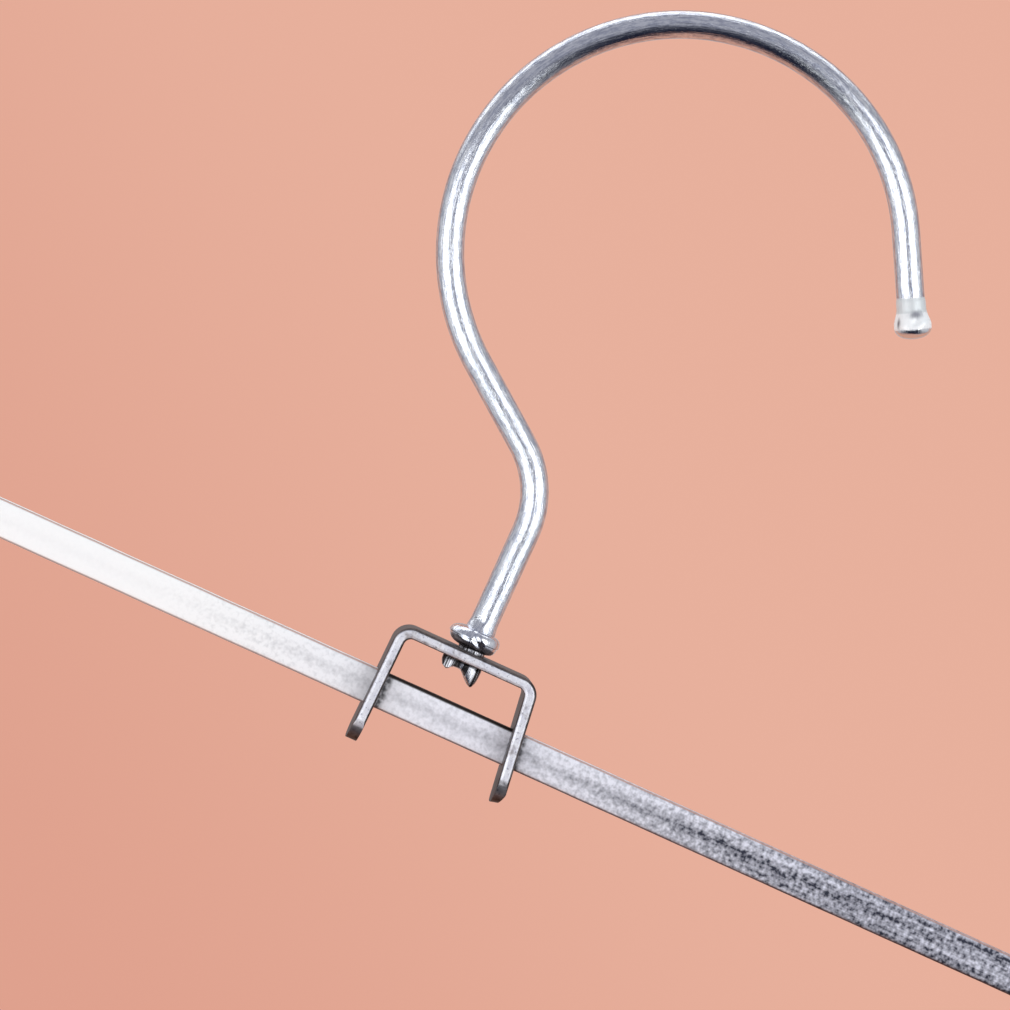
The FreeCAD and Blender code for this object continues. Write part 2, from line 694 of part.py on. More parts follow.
def make_sleeve(hand, side, which, facing):
    """Vinyl sleeve over a lip, with grooves across its gripping face."""
    name = f"{hand}_{which}_sleeve"
    body = clip_body(name, side)
    block = new_sketch(body, f"{name}_outline", "YZ_Plane")
    face = "(grip_gap / 2)"
    top = f"({SLEEVE_BOTTOM} + sleeve_height)"
    round_off = "sleeve_corner_r"
    add_outline(block, (
        (f"{facing} * {face}", SLEEVE_BOTTOM, round_off),
        (f"{facing} * {SLEEVE_BACK}", SLEEVE_BOTTOM, round_off),
        (f"{facing} * {SLEEVE_BACK}", top),
        (f"{facing} * {face}", top),
    ))
    add_pad(body, f"{name}_block", block, "clip_w + 2 * sleeve_side", midplane=True)
    opening = new_sketch(body, f"{name}_opening", "YZ_Plane")
    inner = f"({LIP_Y} - sleeve_fit)"
    outer = f"({LIP_Y} + sheet_t + sleeve_fit)"
    add_outline(opening, (
        (f"{facing} * {inner}", "-lip_drop - sleeve_fit"),
        (f"{facing} * {outer}", "-lip_drop - sleeve_fit"),
        (f"{facing} * {outer}", f"{top} + sleeve_wall"),
        (f"{facing} * {inner}", f"{top} + sleeve_wall"),
    ))
    cut_to_length(body, f"{name}_socket", opening, "clip_w + 2 * sleeve_fit", midplane=True)
    groove = new_sketch(body, f"{name}_groove_outline", "YZ_Plane")
    start = f"({SLEEVE_BOTTOM} + sleeve_wall)"
    add_outline(groove, (
        ("0", start),
        (f"{facing} * ({face} + rib_depth)", start),
        (f"{facing} * ({face} + rib_depth)", f"{start} + rib_w"),
        ("0", f"{start} + rib_w"),
    ))
    cut = cut_through(body, f"{name}_groove", groove)
    rows = body.newObject("PartDesign::LinearPattern", f"{name}_grooves")
    rows.Originals = [cut]
    rows.Direction = (groove, ["V_Axis"])
    rows.Mode = "Spacing"
    bind(rows, "Offset", "rib_pitch")
    bind(rows, "Occurrences", "rib_count")
    body.Tip = rows
    doc.recompute()
    return body


# Torsion springs

def biarc(start, start_way, finish, finish_way):
    """Two arcs from one point and direction to another, smooth where they join."""
    span = finish - start
    sum_way = start_way + finish_way
    spread = 2 * (1 - start_way.dot(finish_way))
    across = span.dot(sum_way)
    reach = (math.sqrt(across ** 2 + spread * span.dot(span)) - across) / spread
    joint = (start + start_way * reach + finish - finish_way * reach) * 0.5
    return [
        arc_leaving(start, start_way, joint),
        arc_leaving(finish, finish_way * -1, joint, turn_back=True),
    ]


def arc_leaving(start, way, finish, turn_back=False):
    """Arc that leaves a point in a direction and ends at another point."""
    chord = finish - start
    sideways = (chord - way * chord.dot(way)).normalize()
    angle = math.atan2(chord.dot(sideways), chord.dot(way))
    radius = chord.Length / (2 * math.sin(angle))
    centre = start + sideways * radius
    middle = centre + way * radius * math.sin(angle) - sideways * radius * math.cos(angle)
    if turn_back:
        return Part.Arc(finish, middle, start).toShape()
    return Part.Arc(start, middle, finish).toShape()


def rounded_leg(tip, corner, root, radius):
    """Straight end, rounded corner and straight leg, as edges from tip to root."""
    to_tip = (tip - corner).normalize()
    to_root = (root - corner).normalize()
    first = corner + to_tip * radius
    last = corner + to_root * radius
    inward = to_tip + to_root
    middle = corner + inward * radius - inward.normalize() * radius
    return [
        Part.LineSegment(tip, first).toShape(),
        Part.Arc(first, middle, last).toShape(),
        Part.LineSegment(last, root).toShape(),
    ]


def make_spring(hand, side):
    """Coil round the pin; each leg goes up and hooks square through a jaw."""
    name = f"{hand}_spring"
    coil_r = size("spring_d / 2")
    pitch = size("spring_pitch")
    turns = size("spring_turns")
    wire_r = size("spring_wire / 2")
    rise = size("leg_rise")
    outer_wall = size("throat + sheet_t")
    half = turns * pitch / 2

    def on_coil(turn):
        angle = 2 * math.pi * turn
        return Vector(pitch * turn - half, coil_r * math.cos(angle), -coil_r * math.sin(angle))

    def coil_way(turn):
        angle = 2 * math.pi * turn
        way = Vector(pitch / (2 * math.pi), -coil_r * math.sin(angle), -coil_r * math.cos(angle))
        return way.normalize()

    def corner_of(root, way):
        return root + way * (rise / way.z)

    rear_root = on_coil(0)
    rear_corner = corner_of(rear_root, coil_way(0))
    rear_tip = Vector(rear_corner.x, outer_wall, rear_corner.z)
    front_root = on_coil(turns)
    front_corner = corner_of(front_root, coil_way(turns))
    front_tip = Vector(front_corner.x, -outer_wall, front_corner.z)
    bend = size("leg_bend_r")

    edges = rounded_leg(rear_tip, rear_corner, rear_root, bend)
    quarters = round(turns * 4)
    for quarter in range(quarters):
        start = quarter / 4
        finish = (quarter + 1) / 4
        edges += biarc(on_coil(start), coil_way(start), on_coil(finish), coil_way(finish))
    front_leg = rounded_leg(front_tip, front_corner, front_root, bend)
    for edge in reversed(front_leg):
        edges.append(edge)

    path = Part.Wire(Part.__sortEdges__(edges))
    ring = Part.Wire([Part.Circle(rear_tip, Vector(0, 1, 0), wire_r).toShape()])
    tube = path.makePipeShell([ring], True, False)

    spacing_share = 0.2
    points = path.discretize(Distance=spacing_share * size("spring_wire"))
    apart = size("pi * spring_d") / 2
    step = path.Length / (len(points) - 1)
    least = min(
        (points[one] - points[two]).Length
        for one in range(len(points))
        for two in range(one + math.ceil(apart / step), len(points))
    )
    print(f"{name}: least gap to itself {least - 2 * wire_r:.3f} mm")

    spring = doc.addObject("Part::Feature", name)
    spring.Label = name
    spring.Shape = tube
    spring.Placement = FreeCAD.Placement(
        Vector(size(f"{side} * {CLIP_STATION}"), 0, size(f"-{BAR_DROP} + {PIVOT_Z}")),
        FreeCAD.Rotation())
    return spring


# The whole hanger

parts = [make_hook(), make_bracket(), make_bar()]
for hand, side in (("left", -1), ("right", 1)):
    parts.append(make_end_cap(f"{hand}_end_cap", side))
    parts.append(make_rear_jaw(hand, side))
    parts.append(make_front_jaw(hand, side))
    parts.append(make_pivot_pin(hand, side))
    parts.append(make_spring(hand, side))
    parts.append(make_sleeve(hand, side, "rear", 1))
    parts.append(make_sleeve(hand, side, "front", -1))
doc.recompute()

for thing in doc.Objects:
    if "Invalid" in thing.State or "Error" in thing.State:
        raise RuntimeError(f"{thing.Name} is {thing.State}")
for part in parts:
    if part.Shape.isNull() or not part.Shape.isValid() or len(part.Shape.Solids) != 1:
        raise RuntimeError(f"{part.Label} has no single valid solid")

os.makedirs("parts", exist_ok=True)
for part in parts:
    part.Shape.exportStep(f"parts/{part.Label}.step")
    box = part.Shape.BoundBox
    print(f"{part.Label}: x {box.XMin:.2f} to {box.XMax:.2f}, y {box.YMin:.2f} to {box.YMax:.2f},"
          f" z {box.ZMin:.2f} to {box.ZMax:.2f}, {part.Shape.Volume:.1f} mm3")
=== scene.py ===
import math

import bmesh
import bpy
from mathutils import Matrix, Quaternion, Vector, noise


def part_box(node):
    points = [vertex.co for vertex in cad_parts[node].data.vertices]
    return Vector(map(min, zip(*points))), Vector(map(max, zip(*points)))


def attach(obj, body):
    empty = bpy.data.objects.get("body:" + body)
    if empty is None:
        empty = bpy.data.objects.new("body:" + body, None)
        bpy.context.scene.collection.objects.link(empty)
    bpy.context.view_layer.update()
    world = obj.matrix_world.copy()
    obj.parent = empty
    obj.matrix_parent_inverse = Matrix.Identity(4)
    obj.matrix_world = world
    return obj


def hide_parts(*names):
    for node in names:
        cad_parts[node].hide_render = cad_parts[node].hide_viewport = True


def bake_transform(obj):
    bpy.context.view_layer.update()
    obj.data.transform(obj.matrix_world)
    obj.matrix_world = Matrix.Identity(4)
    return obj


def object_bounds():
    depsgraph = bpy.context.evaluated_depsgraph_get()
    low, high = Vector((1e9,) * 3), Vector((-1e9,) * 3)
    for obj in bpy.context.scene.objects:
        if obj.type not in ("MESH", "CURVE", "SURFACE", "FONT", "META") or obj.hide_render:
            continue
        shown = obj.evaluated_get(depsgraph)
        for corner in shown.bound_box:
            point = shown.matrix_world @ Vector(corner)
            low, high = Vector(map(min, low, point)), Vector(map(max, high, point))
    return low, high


# Skirt hanger: bright wire hook, folded bracket, galvanised flat bar and two
# spring clips. X runs along the bar, Y from front to back, Z up, in metres.
# Shapes are drawn in millimetres and scaled by MM.

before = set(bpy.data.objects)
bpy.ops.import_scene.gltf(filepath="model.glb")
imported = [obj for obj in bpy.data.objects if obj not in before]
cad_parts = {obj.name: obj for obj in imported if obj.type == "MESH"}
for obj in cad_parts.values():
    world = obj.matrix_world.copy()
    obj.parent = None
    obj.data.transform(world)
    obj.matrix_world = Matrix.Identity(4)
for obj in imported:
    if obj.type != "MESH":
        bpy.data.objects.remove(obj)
cad_box = [list(corner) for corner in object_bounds()]
scene = bpy.context.scene
scene.view_settings.view_transform = "Standard"

MM = 0.001
BRACKET_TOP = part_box("bracket")[1].z / MM
BAR_LOW, BAR_HIGH = (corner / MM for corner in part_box("bar"))
BAR_MIDDLE = (BAR_LOW.z + BAR_HIGH.z) / 2

# Camera, at the photo's angle: from the front, a little above and to the left, rolled
ELEVATION = math.radians(1.0)
AZIMUTH = math.radians(3.5)
ROLL = math.radians(24.56)
CAMERA_DISTANCE = 0.70
FRAME_WIDTH = 0.12469
TARGET = Vector((-3.711, 0, BAR_MIDDLE + 27.129)) * MM
FRONT = Vector((-math.sin(AZIMUTH) * math.cos(ELEVATION), -math.cos(AZIMUTH) * math.cos(ELEVATION),
                math.sin(ELEVATION)))
LEVEL = Vector((math.cos(AZIMUTH), -math.sin(AZIMUTH), 0))
UPRIGHT = FRONT.cross(LEVEL)
PICTURE_RIGHT = LEVEL * math.cos(ROLL) + UPRIGHT * math.sin(ROLL)
PICTURE_UP = UPRIGHT * math.cos(ROLL) - LEVEL * math.sin(ROLL)


def make_camera():
    data = bpy.data.cameras.new("camera")
    camera = bpy.data.objects.new("camera", data)
    scene.collection.objects.link(camera)
    scene.camera = camera
    half = math.atan(FRAME_WIDTH / 2 / CAMERA_DISTANCE)
    data.lens = data.sensor_width / 2 / math.tan(half)
    data.clip_start = 0.01
    camera.location = TARGET + FRONT * CAMERA_DISTANCE
    camera.rotation_mode = "QUATERNION"
    upright = (-FRONT).to_track_quat("-Z", "Y")
    camera.rotation_quaternion = upright @ Quaternion((0, 0, 1), ROLL)


# Shader nodes

class Nodes:
    """Adds nodes to one node tree. Inputs are values, or sockets to link from."""

    def __init__(self, tree):
        self.tree = tree

    def put(self, socket, value):
        if isinstance(value, bpy.types.NodeSocket):
            self.tree.links.new(value, socket)
        else:
            socket.default_value = value

    def add(self, kind, inputs=None, **settings):
        node = self.tree.nodes.new(kind)
        for name, value in settings.items():
            setattr(node, name, value)
        for name, value in (inputs or {}).items():
            self.put(node.inputs[name], value)
        return node

    def calc(self, operation, one, two=0.0, clamp=False):
        node = self.add("ShaderNodeMath", {0: one, 1: two}, operation=operation, use_clamp=clamp)
        return node.outputs[0]

    def total(self, first, *others):
        for other in others:
            first = self.calc("ADD", first, other)
        return first

    def product(self, first, *others):
        for other in others:
            first = self.calc("MULTIPLY", first, other)
        return first

    def less(self, one, two):
        return self.calc("SUBTRACT", one, two)

    def mix(self, factor, one, two):
        return self.add("ShaderNodeMix", {0: factor, 6: one, 7: two}, data_type="RGBA").outputs[2]

    def span(self, value, low, high, out_low=0.0, out_high=1.0, kind="SMOOTHSTEP"):
        """Value from low to high eased to another range, and held outside it."""
        inputs = {0: value, 1: low, 2: high, 3: out_low, 4: out_high}
        return self.add("ShaderNodeMapRange", inputs, interpolation_type=kind).outputs[0]

    def ramp(self, value, low, high, out_low=0.0, out_high=1.0):
        """The same in a straight line."""
        return self.span(value, low, high, out_low, out_high, "LINEAR")

    def spots(self, place, scale, detail, rough, stretch=(1, 1, 1)):
        """Noise at a place, with a number of cells per unit and a factor on it by axis."""
        moved = self.add("ShaderNodeMapping", {0: place, 3: stretch}).outputs[0]
        inputs = {0: moved, "Scale": scale, "Detail": detail, "Roughness": rough}
        return self.add("ShaderNodeTexNoise", inputs).outputs[0]

    def axes(self, vector):
        return self.add("ShaderNodeSeparateXYZ", {0: vector}).outputs

    def toward(self, way, direction):
        """Share of a way that points in a direction."""
        node = self.add("ShaderNodeVectorMath", {0: way, 1: direction}, operation="DOT_PRODUCT")
        return node.outputs[1]

    def in_mm(self, length):
        return self.product(length, 1 / MM)


# World: even light, with a room for reflections and a backdrop for the camera

BACKDROP = (0.803, 0.436, 0.335, 1)
BACKDROP_SHADED = (0.737, 0.356, 0.270, 1)
BACKDROP_IN_METAL = (0.58, 0.315, 0.24, 1)
ROOM_BELOW = (0.012, 0.014, 0.030, 1)
ROOM_ABOVE = (0.35, 0.36, 0.42, 1)
ROOM_SIDES = (0.42, 0.43, 0.47, 1)
ROOM_BACK = (0.50, 0.51, 0.54, 1)
EVEN_LIGHT = (0.55, 0.58, 0.605, 1)
EVEN_LIGHT_BACK = (0.85, 0.88, 0.90, 1)


def reflected_room(nodes, ahead, above, rightward):
    """Room that metal reflects: dark below, lit above and aside, the backdrop behind."""
    aside = nodes.calc("ABSOLUTE", rightward)
    room = nodes.mix(nodes.span(above, -0.66, 0.22), ROOM_BELOW, ROOM_ABOVE)
    room = nodes.mix(nodes.span(aside, 0.40, 0.90), room, ROOM_SIDES)
    higher = nodes.calc("MAXIMUM", above, 0.0)
    nearer = nodes.total(nodes.product(aside, 0.85), nodes.product(higher, 0.95))
    behind = nodes.span(nodes.total(ahead, nearer), 0.36, 0.06)
    room = nodes.mix(behind, room, BACKDROP_IN_METAL)
    return nodes.mix(nodes.span(ahead, -0.86, -0.97), room, ROOM_BACK)


def make_world():
    world = bpy.data.worlds.new("studio")
    scene.world = world
    world.use_nodes = True
    nodes = Nodes(world.node_tree)
    nodes.tree.nodes.clear()
    path = nodes.add("ShaderNodeLightPath").outputs
    way = nodes.add("ShaderNodeTexCoord").outputs["Generated"]
    ahead = nodes.toward(way, FRONT)
    above = nodes.toward(way, PICTURE_UP)
    rightward = nodes.toward(way, PICTURE_RIGHT)
    even = nodes.mix(nodes.span(ahead, -0.2, -0.8), EVEN_LIGHT, EVEN_LIGHT_BACK)
    shiny = nodes.calc("MAXIMUM", path["Is Glossy Ray"], path["Is Transmission Ray"])
    unseen = nodes.mix(shiny, even, reflected_room(nodes, ahead, above, rightward))
    lit_side = nodes.total(nodes.product(rightward, 0.9), nodes.product(above, 0.5))
    backdrop = nodes.mix(nodes.span(lit_side, -0.13, 0.03), BACKDROP_SHADED, BACKDROP)
    colour = nodes.mix(path["Is Camera Ray"], unseen, backdrop)
    background = nodes.add("ShaderNodeBackground", {0: colour, 1: 1.0})
    nodes.add("ShaderNodeOutputWorld", {0: background.outputs[0]})


# Lights

LIGHT_TINT = (0.945, 0.985, 1.0)
# Name, degrees off the camera's axis, clock angle in the picture in degrees, distance in
# metres, angular size across and along the clock in degrees, radiance
SOFTBOXES = (
    ("left_softbox", 35, 190, 0.90, 52, 44, 1.60),
    ("left_spill", 66, 187, 0.95, 64, 66, 0.20),
    ("right_softbox", 46, -4, 0.90, 46, 50, 1.80),
    ("right_spill", 66, -6, 0.95, 64, 66, 0.12),
    ("top_strip", 109, 95, 1.20, 36, 112, 1.20),
)


def add_softbox(name, off_axis, clock, distance, across, along, radiance):
    """Soft elliptic light that faces the object."""
    tilt, turn = math.radians(off_axis), math.radians(clock)
    outward = PICTURE_RIGHT * math.cos(turn) + PICTURE_UP * math.sin(turn)
    way = FRONT * math.cos(tilt) + outward * math.sin(tilt)
    side = outward * math.cos(tilt) - FRONT * math.sin(tilt)
    data = bpy.data.lights.new(name, "AREA")
    data.shape = "ELLIPSE"
    data.size = 2 * distance * math.tan(math.radians(across) / 2)
    data.size_y = 2 * distance * math.tan(math.radians(along) / 2)
    data.energy = radiance * math.pi * math.pi / 4 * data.size * data.size_y
    data.color = LIGHT_TINT
    light = bpy.data.objects.new(name, data)
    scene.collection.objects.link(light)
    facing = Matrix((side, way.cross(side), way)).transposed()
    light.matrix_world = Matrix.Translation(TARGET + way * distance) @ facing.to_4x4()
    light.visible_camera = False


# Floor

FLOOR_DROP = 200
FLOOR_Z = cad_box[0][2] - FLOOR_DROP * MM
FLOOR_FADE, FLOOR_CLEAR, FLOOR_RIM = 0.24, 0.52, 0.55
FLOOR_STEPS = 64
FLOOR_DARK = (0.88, 0.49, 0.38, 1)
FLOOR_LIGHT = (0.92, 0.52, 0.40, 1)


def floor_paper():
    """Pale paper that goes clear toward the rim, so the floor fades into the backdrop."""
    material, nodes = new_material("floor")
    nodes.tree.nodes.clear()
    place = nodes.add("ShaderNodeTexCoord").outputs["Object"]
    flat = nodes.add("ShaderNodeVectorMath", {0: place, 1: (1, 1, 0)}, operation="MULTIPLY").outputs[0]
    reach = nodes.add("ShaderNodeVectorMath", {0: flat}, operation="LENGTH").outputs[1]
    colour = nodes.mix(nodes.spots(place, 900, 4, 0.6), FLOOR_DARK, FLOOR_LIGHT)
    matt = nodes.add("ShaderNodeBsdfDiffuse", {0: colour}).outputs[0]
    clear = nodes.add("ShaderNodeBsdfTransparent").outputs[0]
    fade = nodes.span(reach, FLOOR_FADE, FLOOR_CLEAR)
    faded = nodes.add("ShaderNodeMixShader", {0: fade, 1: matt, 2: clear}).outputs[0]
    nodes.add("ShaderNodeOutputMaterial", {0: faded})
    return material


def make_floor():
    points = [(0, 0, FLOOR_Z)]
    for step in range(FLOOR_STEPS):
        angle = 2 * math.pi * step / FLOOR_STEPS
        points.append((FLOOR_RIM * math.cos(angle), FLOOR_RIM * math.sin(angle), FLOOR_Z))
    faces = [(0, 1 + step, 1 + (step + 1) % FLOOR_STEPS) for step in range(FLOOR_STEPS)]
    mesh = bpy.data.meshes.new("floor")
    mesh.from_pydata(points, [], faces)
    floor = place_object("floor", mesh, floor_paper())
    floor.visible_glossy = False


# Materials

def new_material(name):
    material = bpy.data.materials.new(name)
    material.use_nodes = True
    return material, Nodes(material.node_tree)


def feed_shader(nodes, colour, roughness, metallic, height, depth, strength=1.0):
    """Colour, gloss, metal and a bump, whose depth is in millimetres."""
    shader = nodes.tree.nodes["Principled BSDF"]
    inputs = {"Strength": strength, "Distance": depth * MM, "Height": height}
    bump = nodes.add("ShaderNodeBump", inputs)
    nodes.put(shader.inputs["Base Color"], colour)
    nodes.put(shader.inputs["Roughness"], roughness)
    nodes.put(shader.inputs["Metallic"], metallic)
    nodes.put(shader.inputs["Normal"], bump.outputs[0])


# Wire of the hook, on its unrolled surface in millimetres

WIRE_UV = "wire"
WIRE_BRIGHT = (0.96, 0.965, 0.99, 1)
WIRE_WORN = (0.60, 0.62, 0.70, 1)
WIRE_PIT = (0.30, 0.31, 0.35, 1)
TORN_AND_SHADED_DARK = (0.055, 0.050, 0.050, 1)
TORN_AND_SHADED_BRIGHT = (0.60, 0.59, 0.62, 1)
UPSET_DULL = (0.76, 0.785, 0.79, 1)
BALL_WHITE = (0.98, 0.98, 0.985, 1)
CREASE_SHADE_GREY = (0.20, 0.20, 0.24, 1)
BALL_SPOT_BROWN = (0.16, 0.13, 0.14, 1)


def blotch(nodes, along, around, middle, half_size, ragged, outer, inner):
    """Mask of an oval blotch with a ragged rim, which fades from inner to outer."""
    up = nodes.calc("DIVIDE", nodes.less(along, middle[0]), half_size[0])
    side = nodes.calc("DIVIDE", nodes.less(around, middle[1]), half_size[1])
    off = nodes.calc("SQRT", nodes.total(nodes.product(up, up), nodes.product(side, side)))
    return nodes.span(nodes.total(off, ragged), outer, inner, 0, 0.9)


def hook_metal():
    """Bright zinc on drawn wire: streaks and pits, a torn staked end and the neck above it both
    darkened partly by painted shade, a dull upset tip.
    """
    material, nodes = new_material("bright_zinc_wire")
    uv = nodes.add("ShaderNodeUVMap", uv_map=WIRE_UV).outputs[0]
    along, around = nodes.axes(uv)[:2]
    streak = nodes.spots(uv, 1, 4, 0.62, (0.30, 3.4, 1))
    mottle = nodes.spots(uv, 1, 4, 0.68, (0.75, 2.3, 1))
    fine = nodes.spots(uv, 1, 3, 0.60, (1.1, 9.0, 1))
    pitted = nodes.span(nodes.spots(uv, 1, 2, 0.50, (3.2, 5.5, 1)), 0.66, 0.74)
    wear = nodes.total(nodes.product(streak, 0.4), nodes.product(mottle, 0.6))
    colour = nodes.mix(nodes.span(wear, 0.42, 0.60), WIRE_BRIGHT, WIRE_WORN)
    colour = nodes.mix(pitted, colour, WIRE_PIT)
    # Torn bare steel at the staked end, with painted shade over it and over the neck under the collar
    torn_and_shaded = nodes.mix(nodes.span(streak, 0.40, 0.58), TORN_AND_SHADED_DARK, TORN_AND_SHADED_BRIGHT)
    colour = nodes.mix(nodes.span(along, 0.62, 0.35), colour, torn_and_shaded)

    # Upset tip, with painted shade in the crease down the front of its ball, and a dark spot beside
    # the crease
    tip, front = hook_length(), WIRE_ROUND / 2
    ragged = nodes.total(along, nodes.product(fine, 0.5))
    upset = nodes.span(ragged, tip - 3.45, tip - 3.1)
    headed = nodes.span(ragged, tip - 1.5, tip - 1.3)
    dulled = nodes.product(upset, nodes.span(ragged, tip + 0.75, tip + 0.45))
    crease = blotch(nodes, along, around, (tip - 1.45, front - 0.35), (0.75, 1.1), mottle, 1.6, 0.6)
    ball_spot = blotch(nodes, along, around, (tip - 0.45, front + 1.72), (0.80, 0.26), mottle, 2.0, 0.5)
    colour = nodes.mix(upset, colour, UPSET_DULL)
    colour = nodes.mix(headed, colour, BALL_WHITE)
    # Painted shade in the crease
    colour = nodes.mix(crease, colour, CREASE_SHADE_GREY)
    # Dark brown spot on the side of the ball
    colour = nodes.mix(ball_spot, colour, BALL_SPOT_BROWN)

    gloss = nodes.ramp(fine, 0.3, 0.7, 0.09, 0.19)
    rough = nodes.total(gloss, nodes.product(pitted, 0.2), nodes.span(dulled, 0, 1, 0, 0.30))
    filmed = nodes.product(dulled, nodes.total(nodes.product(headed, 0.15), 0.6))
    height = nodes.total(streak, nodes.product(mottle, 0.2), nodes.product(fine, 0.2))
    feed_shader(nodes, colour, rough, nodes.less(1.0, filmed), height, 0.06)
    return material


# Zinc of the bar

ZINC_WHITE = (0.99, 0.99, 0.99, 1)
ZINC_LILAC = (0.935, 0.93, 1.0, 1)
ZINC_LILAC_GREY = (0.88, 0.875, 0.98, 1)
ZINC_DARK = (0.036, 0.038, 0.060, 1)
# Painted shadow that the bracket's legs cast on the bar
ZINC_LEG_SHADOW = (0.045, 0.042, 0.05, 1)
# Painted warm reflection of the backdrop on the bar's upper rounded edges
EDGE_REFLECTED_WARM = (0.52, 0.31, 0.26, 1)
# Painted shade on the bar's lower rounded edge, lighter to the left
LOW_EDGE_SHADE_LEFT = (0.20, 0.105, 0.09, 1)
LOW_EDGE_SHADE_RIGHT = (0.085, 0.045, 0.04, 1)
# Painted shade on top of the bar between the legs, under the bracket
SHADE_UNDER_BRACKET = (0.035, 0.025, 0.022, 1)
# Right-hand side of each leg where it crosses the bar, its lean, and the reach of the painted shadow
# that each leg casts to its right
LEG_SHADOWS = ((-8.15, -0.019, 1.1), (10.4, 0.125, 0.8))


def zinc_dulling_and_shade(nodes, along, high):
    """How dark the zinc is made: by dulling and painted shade together to the right, by a painted
    falloff of the light to the far left, and darker below and along a middle valley.
    """
    off_middle = nodes.calc("ABSOLUTE", high)
    valley = nodes.product(nodes.ramp(along, -36, 42, 0.04, 0.43), nodes.span(along, 53, 41, 0.1, 1),
                           nodes.span(off_middle, 1.2, 0.0))
    lower = nodes.product(nodes.span(high, 1.5, -1.5, 0, 0.1), nodes.span(along, -10, 30))
    # Painted falloff of the light toward the far left
    far_left = nodes.span(along, -60, -110, 0, 0.22)
    return nodes.total(nodes.ramp(along, -36, 20, 0, 0.075), nodes.ramp(along, 17, 55, 0, 0.48),
                       far_left, valley, lower)


def zinc_texture(nodes, place, along, zinc):
    """Lighter and darker grain and drawn lines, stronger to the right."""
    drawn = nodes.less(nodes.spots(place, 2600, 2, 0.5, (0.03, 1, 1)), 0.5)
    broad = nodes.less(0.5, nodes.spots(place, 900, 1, 0.5, (0.025, 1, 1)))
    gain = nodes.total(nodes.span(along, -42, -22, 0.1, 0.85), nodes.ramp(along, 0, 45, 0, 1.8),
                       nodes.span(along, -60, -110))
    grain = nodes.product(nodes.less(zinc, 0.5), gain)
    lines = nodes.product(drawn, nodes.span(along, 10, 50, 0, 0.95))
    return nodes.total(grain, lines, nodes.product(broad, nodes.span(along, 36, 60, 0, 1.2)))


def painted_leg_shadows(nodes, colour, along, high, zinc):
    """Painted shadow that each leg of the bracket casts to its right on the zinc, broken up by the
    grain.
    """
    for leg_side, lean, reach in LEG_SHADOWS:
        past = nodes.less(nodes.total(along, nodes.product(high, lean)), leg_side)
        wear_and_shadow = nodes.product(nodes.span(past, reach, reach * 0.3), nodes.span(past, -1.6, -1.4))
        leg_shadow = nodes.product(wear_and_shadow, nodes.span(zinc, 0.35, 0.6, 0.45, 0.92))
        colour = nodes.mix(leg_shadow, colour, ZINC_LEG_SHADOW)
    return colour


def bar_edges(nodes, colour, along, high, upward):
    """Rounded edges: a painted warm reflection above, painted shade below, and painted shade on top
    between the legs, under the bracket.
    """
    flat = nodes.span(nodes.calc("ABSOLUTE", upward), 0.93, 0.985, 0.9, 0)
    # Painted reflection of the backdrop on the upper rounded edges
    on_top = nodes.product(nodes.span(upward, 0.35, 0.75), flat)
    below = nodes.product(nodes.span(upward, -0.35, -0.75), flat, nodes.span(along, -30, 12, 0.80, 1))
    # Painted shade on the lower rounded edge
    low_edge_shade = nodes.mix(nodes.span(along, -30, 20), LOW_EDGE_SHADE_LEFT, LOW_EDGE_SHADE_RIGHT)
    # Painted shade on top of the bar between the legs, under the bracket
    between = nodes.product(nodes.span(along, -9.2, -8.6), nodes.span(along, 10.4, 9.8))
    under_bracket = nodes.product(nodes.span(high, 1.80, 2.04), between)
    colour = nodes.mix(on_top, colour, EDGE_REFLECTED_WARM)
    colour = nodes.mix(below, colour, low_edge_shade)
    return nodes.mix(under_bracket, colour, SHADE_UNDER_BRACKET)


def bar_metal():
    """Galvanised bar: pale matt zinc to the left, partly a painted highlight, speckled and drawn to
    the right.
    """
    material, nodes = new_material("mottled_zinc_bar")
    coordinates = nodes.add("ShaderNodeTexCoord").outputs
    place = coordinates["Object"]
    upward = nodes.axes(coordinates["Normal"])[2]
    along = nodes.in_mm(nodes.axes(place)[0])
    high = nodes.less(nodes.in_mm(nodes.axes(place)[2]), BAR_MIDDLE)
    grain = nodes.spots(place, 1800, 1.5, 0.55)
    cloud = nodes.spots(place, 1100, 2, 0.6, (0.6, 1, 1))
    zinc = nodes.total(nodes.product(grain, 0.75), nodes.product(cloud, 0.25))
    texture = zinc_texture(nodes, place, along, zinc)
    shade = nodes.calc("ADD", zinc_dulling_and_shade(nodes, along, high), texture, clamp=True)
    # Whitest to the left, partly a painted highlight, then lilac and lilac grey to the right
    pale = nodes.mix(nodes.span(along, -36, 10), ZINC_WHITE, ZINC_LILAC)
    pale = nodes.mix(nodes.span(along, 10, 60), pale, ZINC_LILAC_GREY)
    colour = nodes.mix(shade, pale, ZINC_DARK)
    # Painted shadows cast by the bracket's legs
    colour = painted_leg_shadows(nodes, colour, along, high, zinc)
    colour = bar_edges(nodes, colour, along, high, upward)
    rough = nodes.ramp(along, -40, 55, 0.60, 0.44)
    metallic = nodes.ramp(along, -40, 55, 0.15, 0.60)
    feed_shader(nodes, colour, rough, metallic, zinc, 0.04)
    return material


# Steel strip of the bracket

ROLLED_DARK = (0.070, 0.058, 0.055, 1)
ROLLED_LIGHT = (0.17, 0.144, 0.138, 1)
TIP_DARKENED = (0.035, 0.024, 0.022, 1)
SHEARED_LILAC = (0.84, 0.835, 0.92, 1)
SHEARED_WHITE = (0.96, 0.955, 1.0, 1)
SHEARED_GREY = (0.38, 0.38, 0.44, 1)
SMUDGE_BROWN = (0.20, 0.155, 0.145, 1)


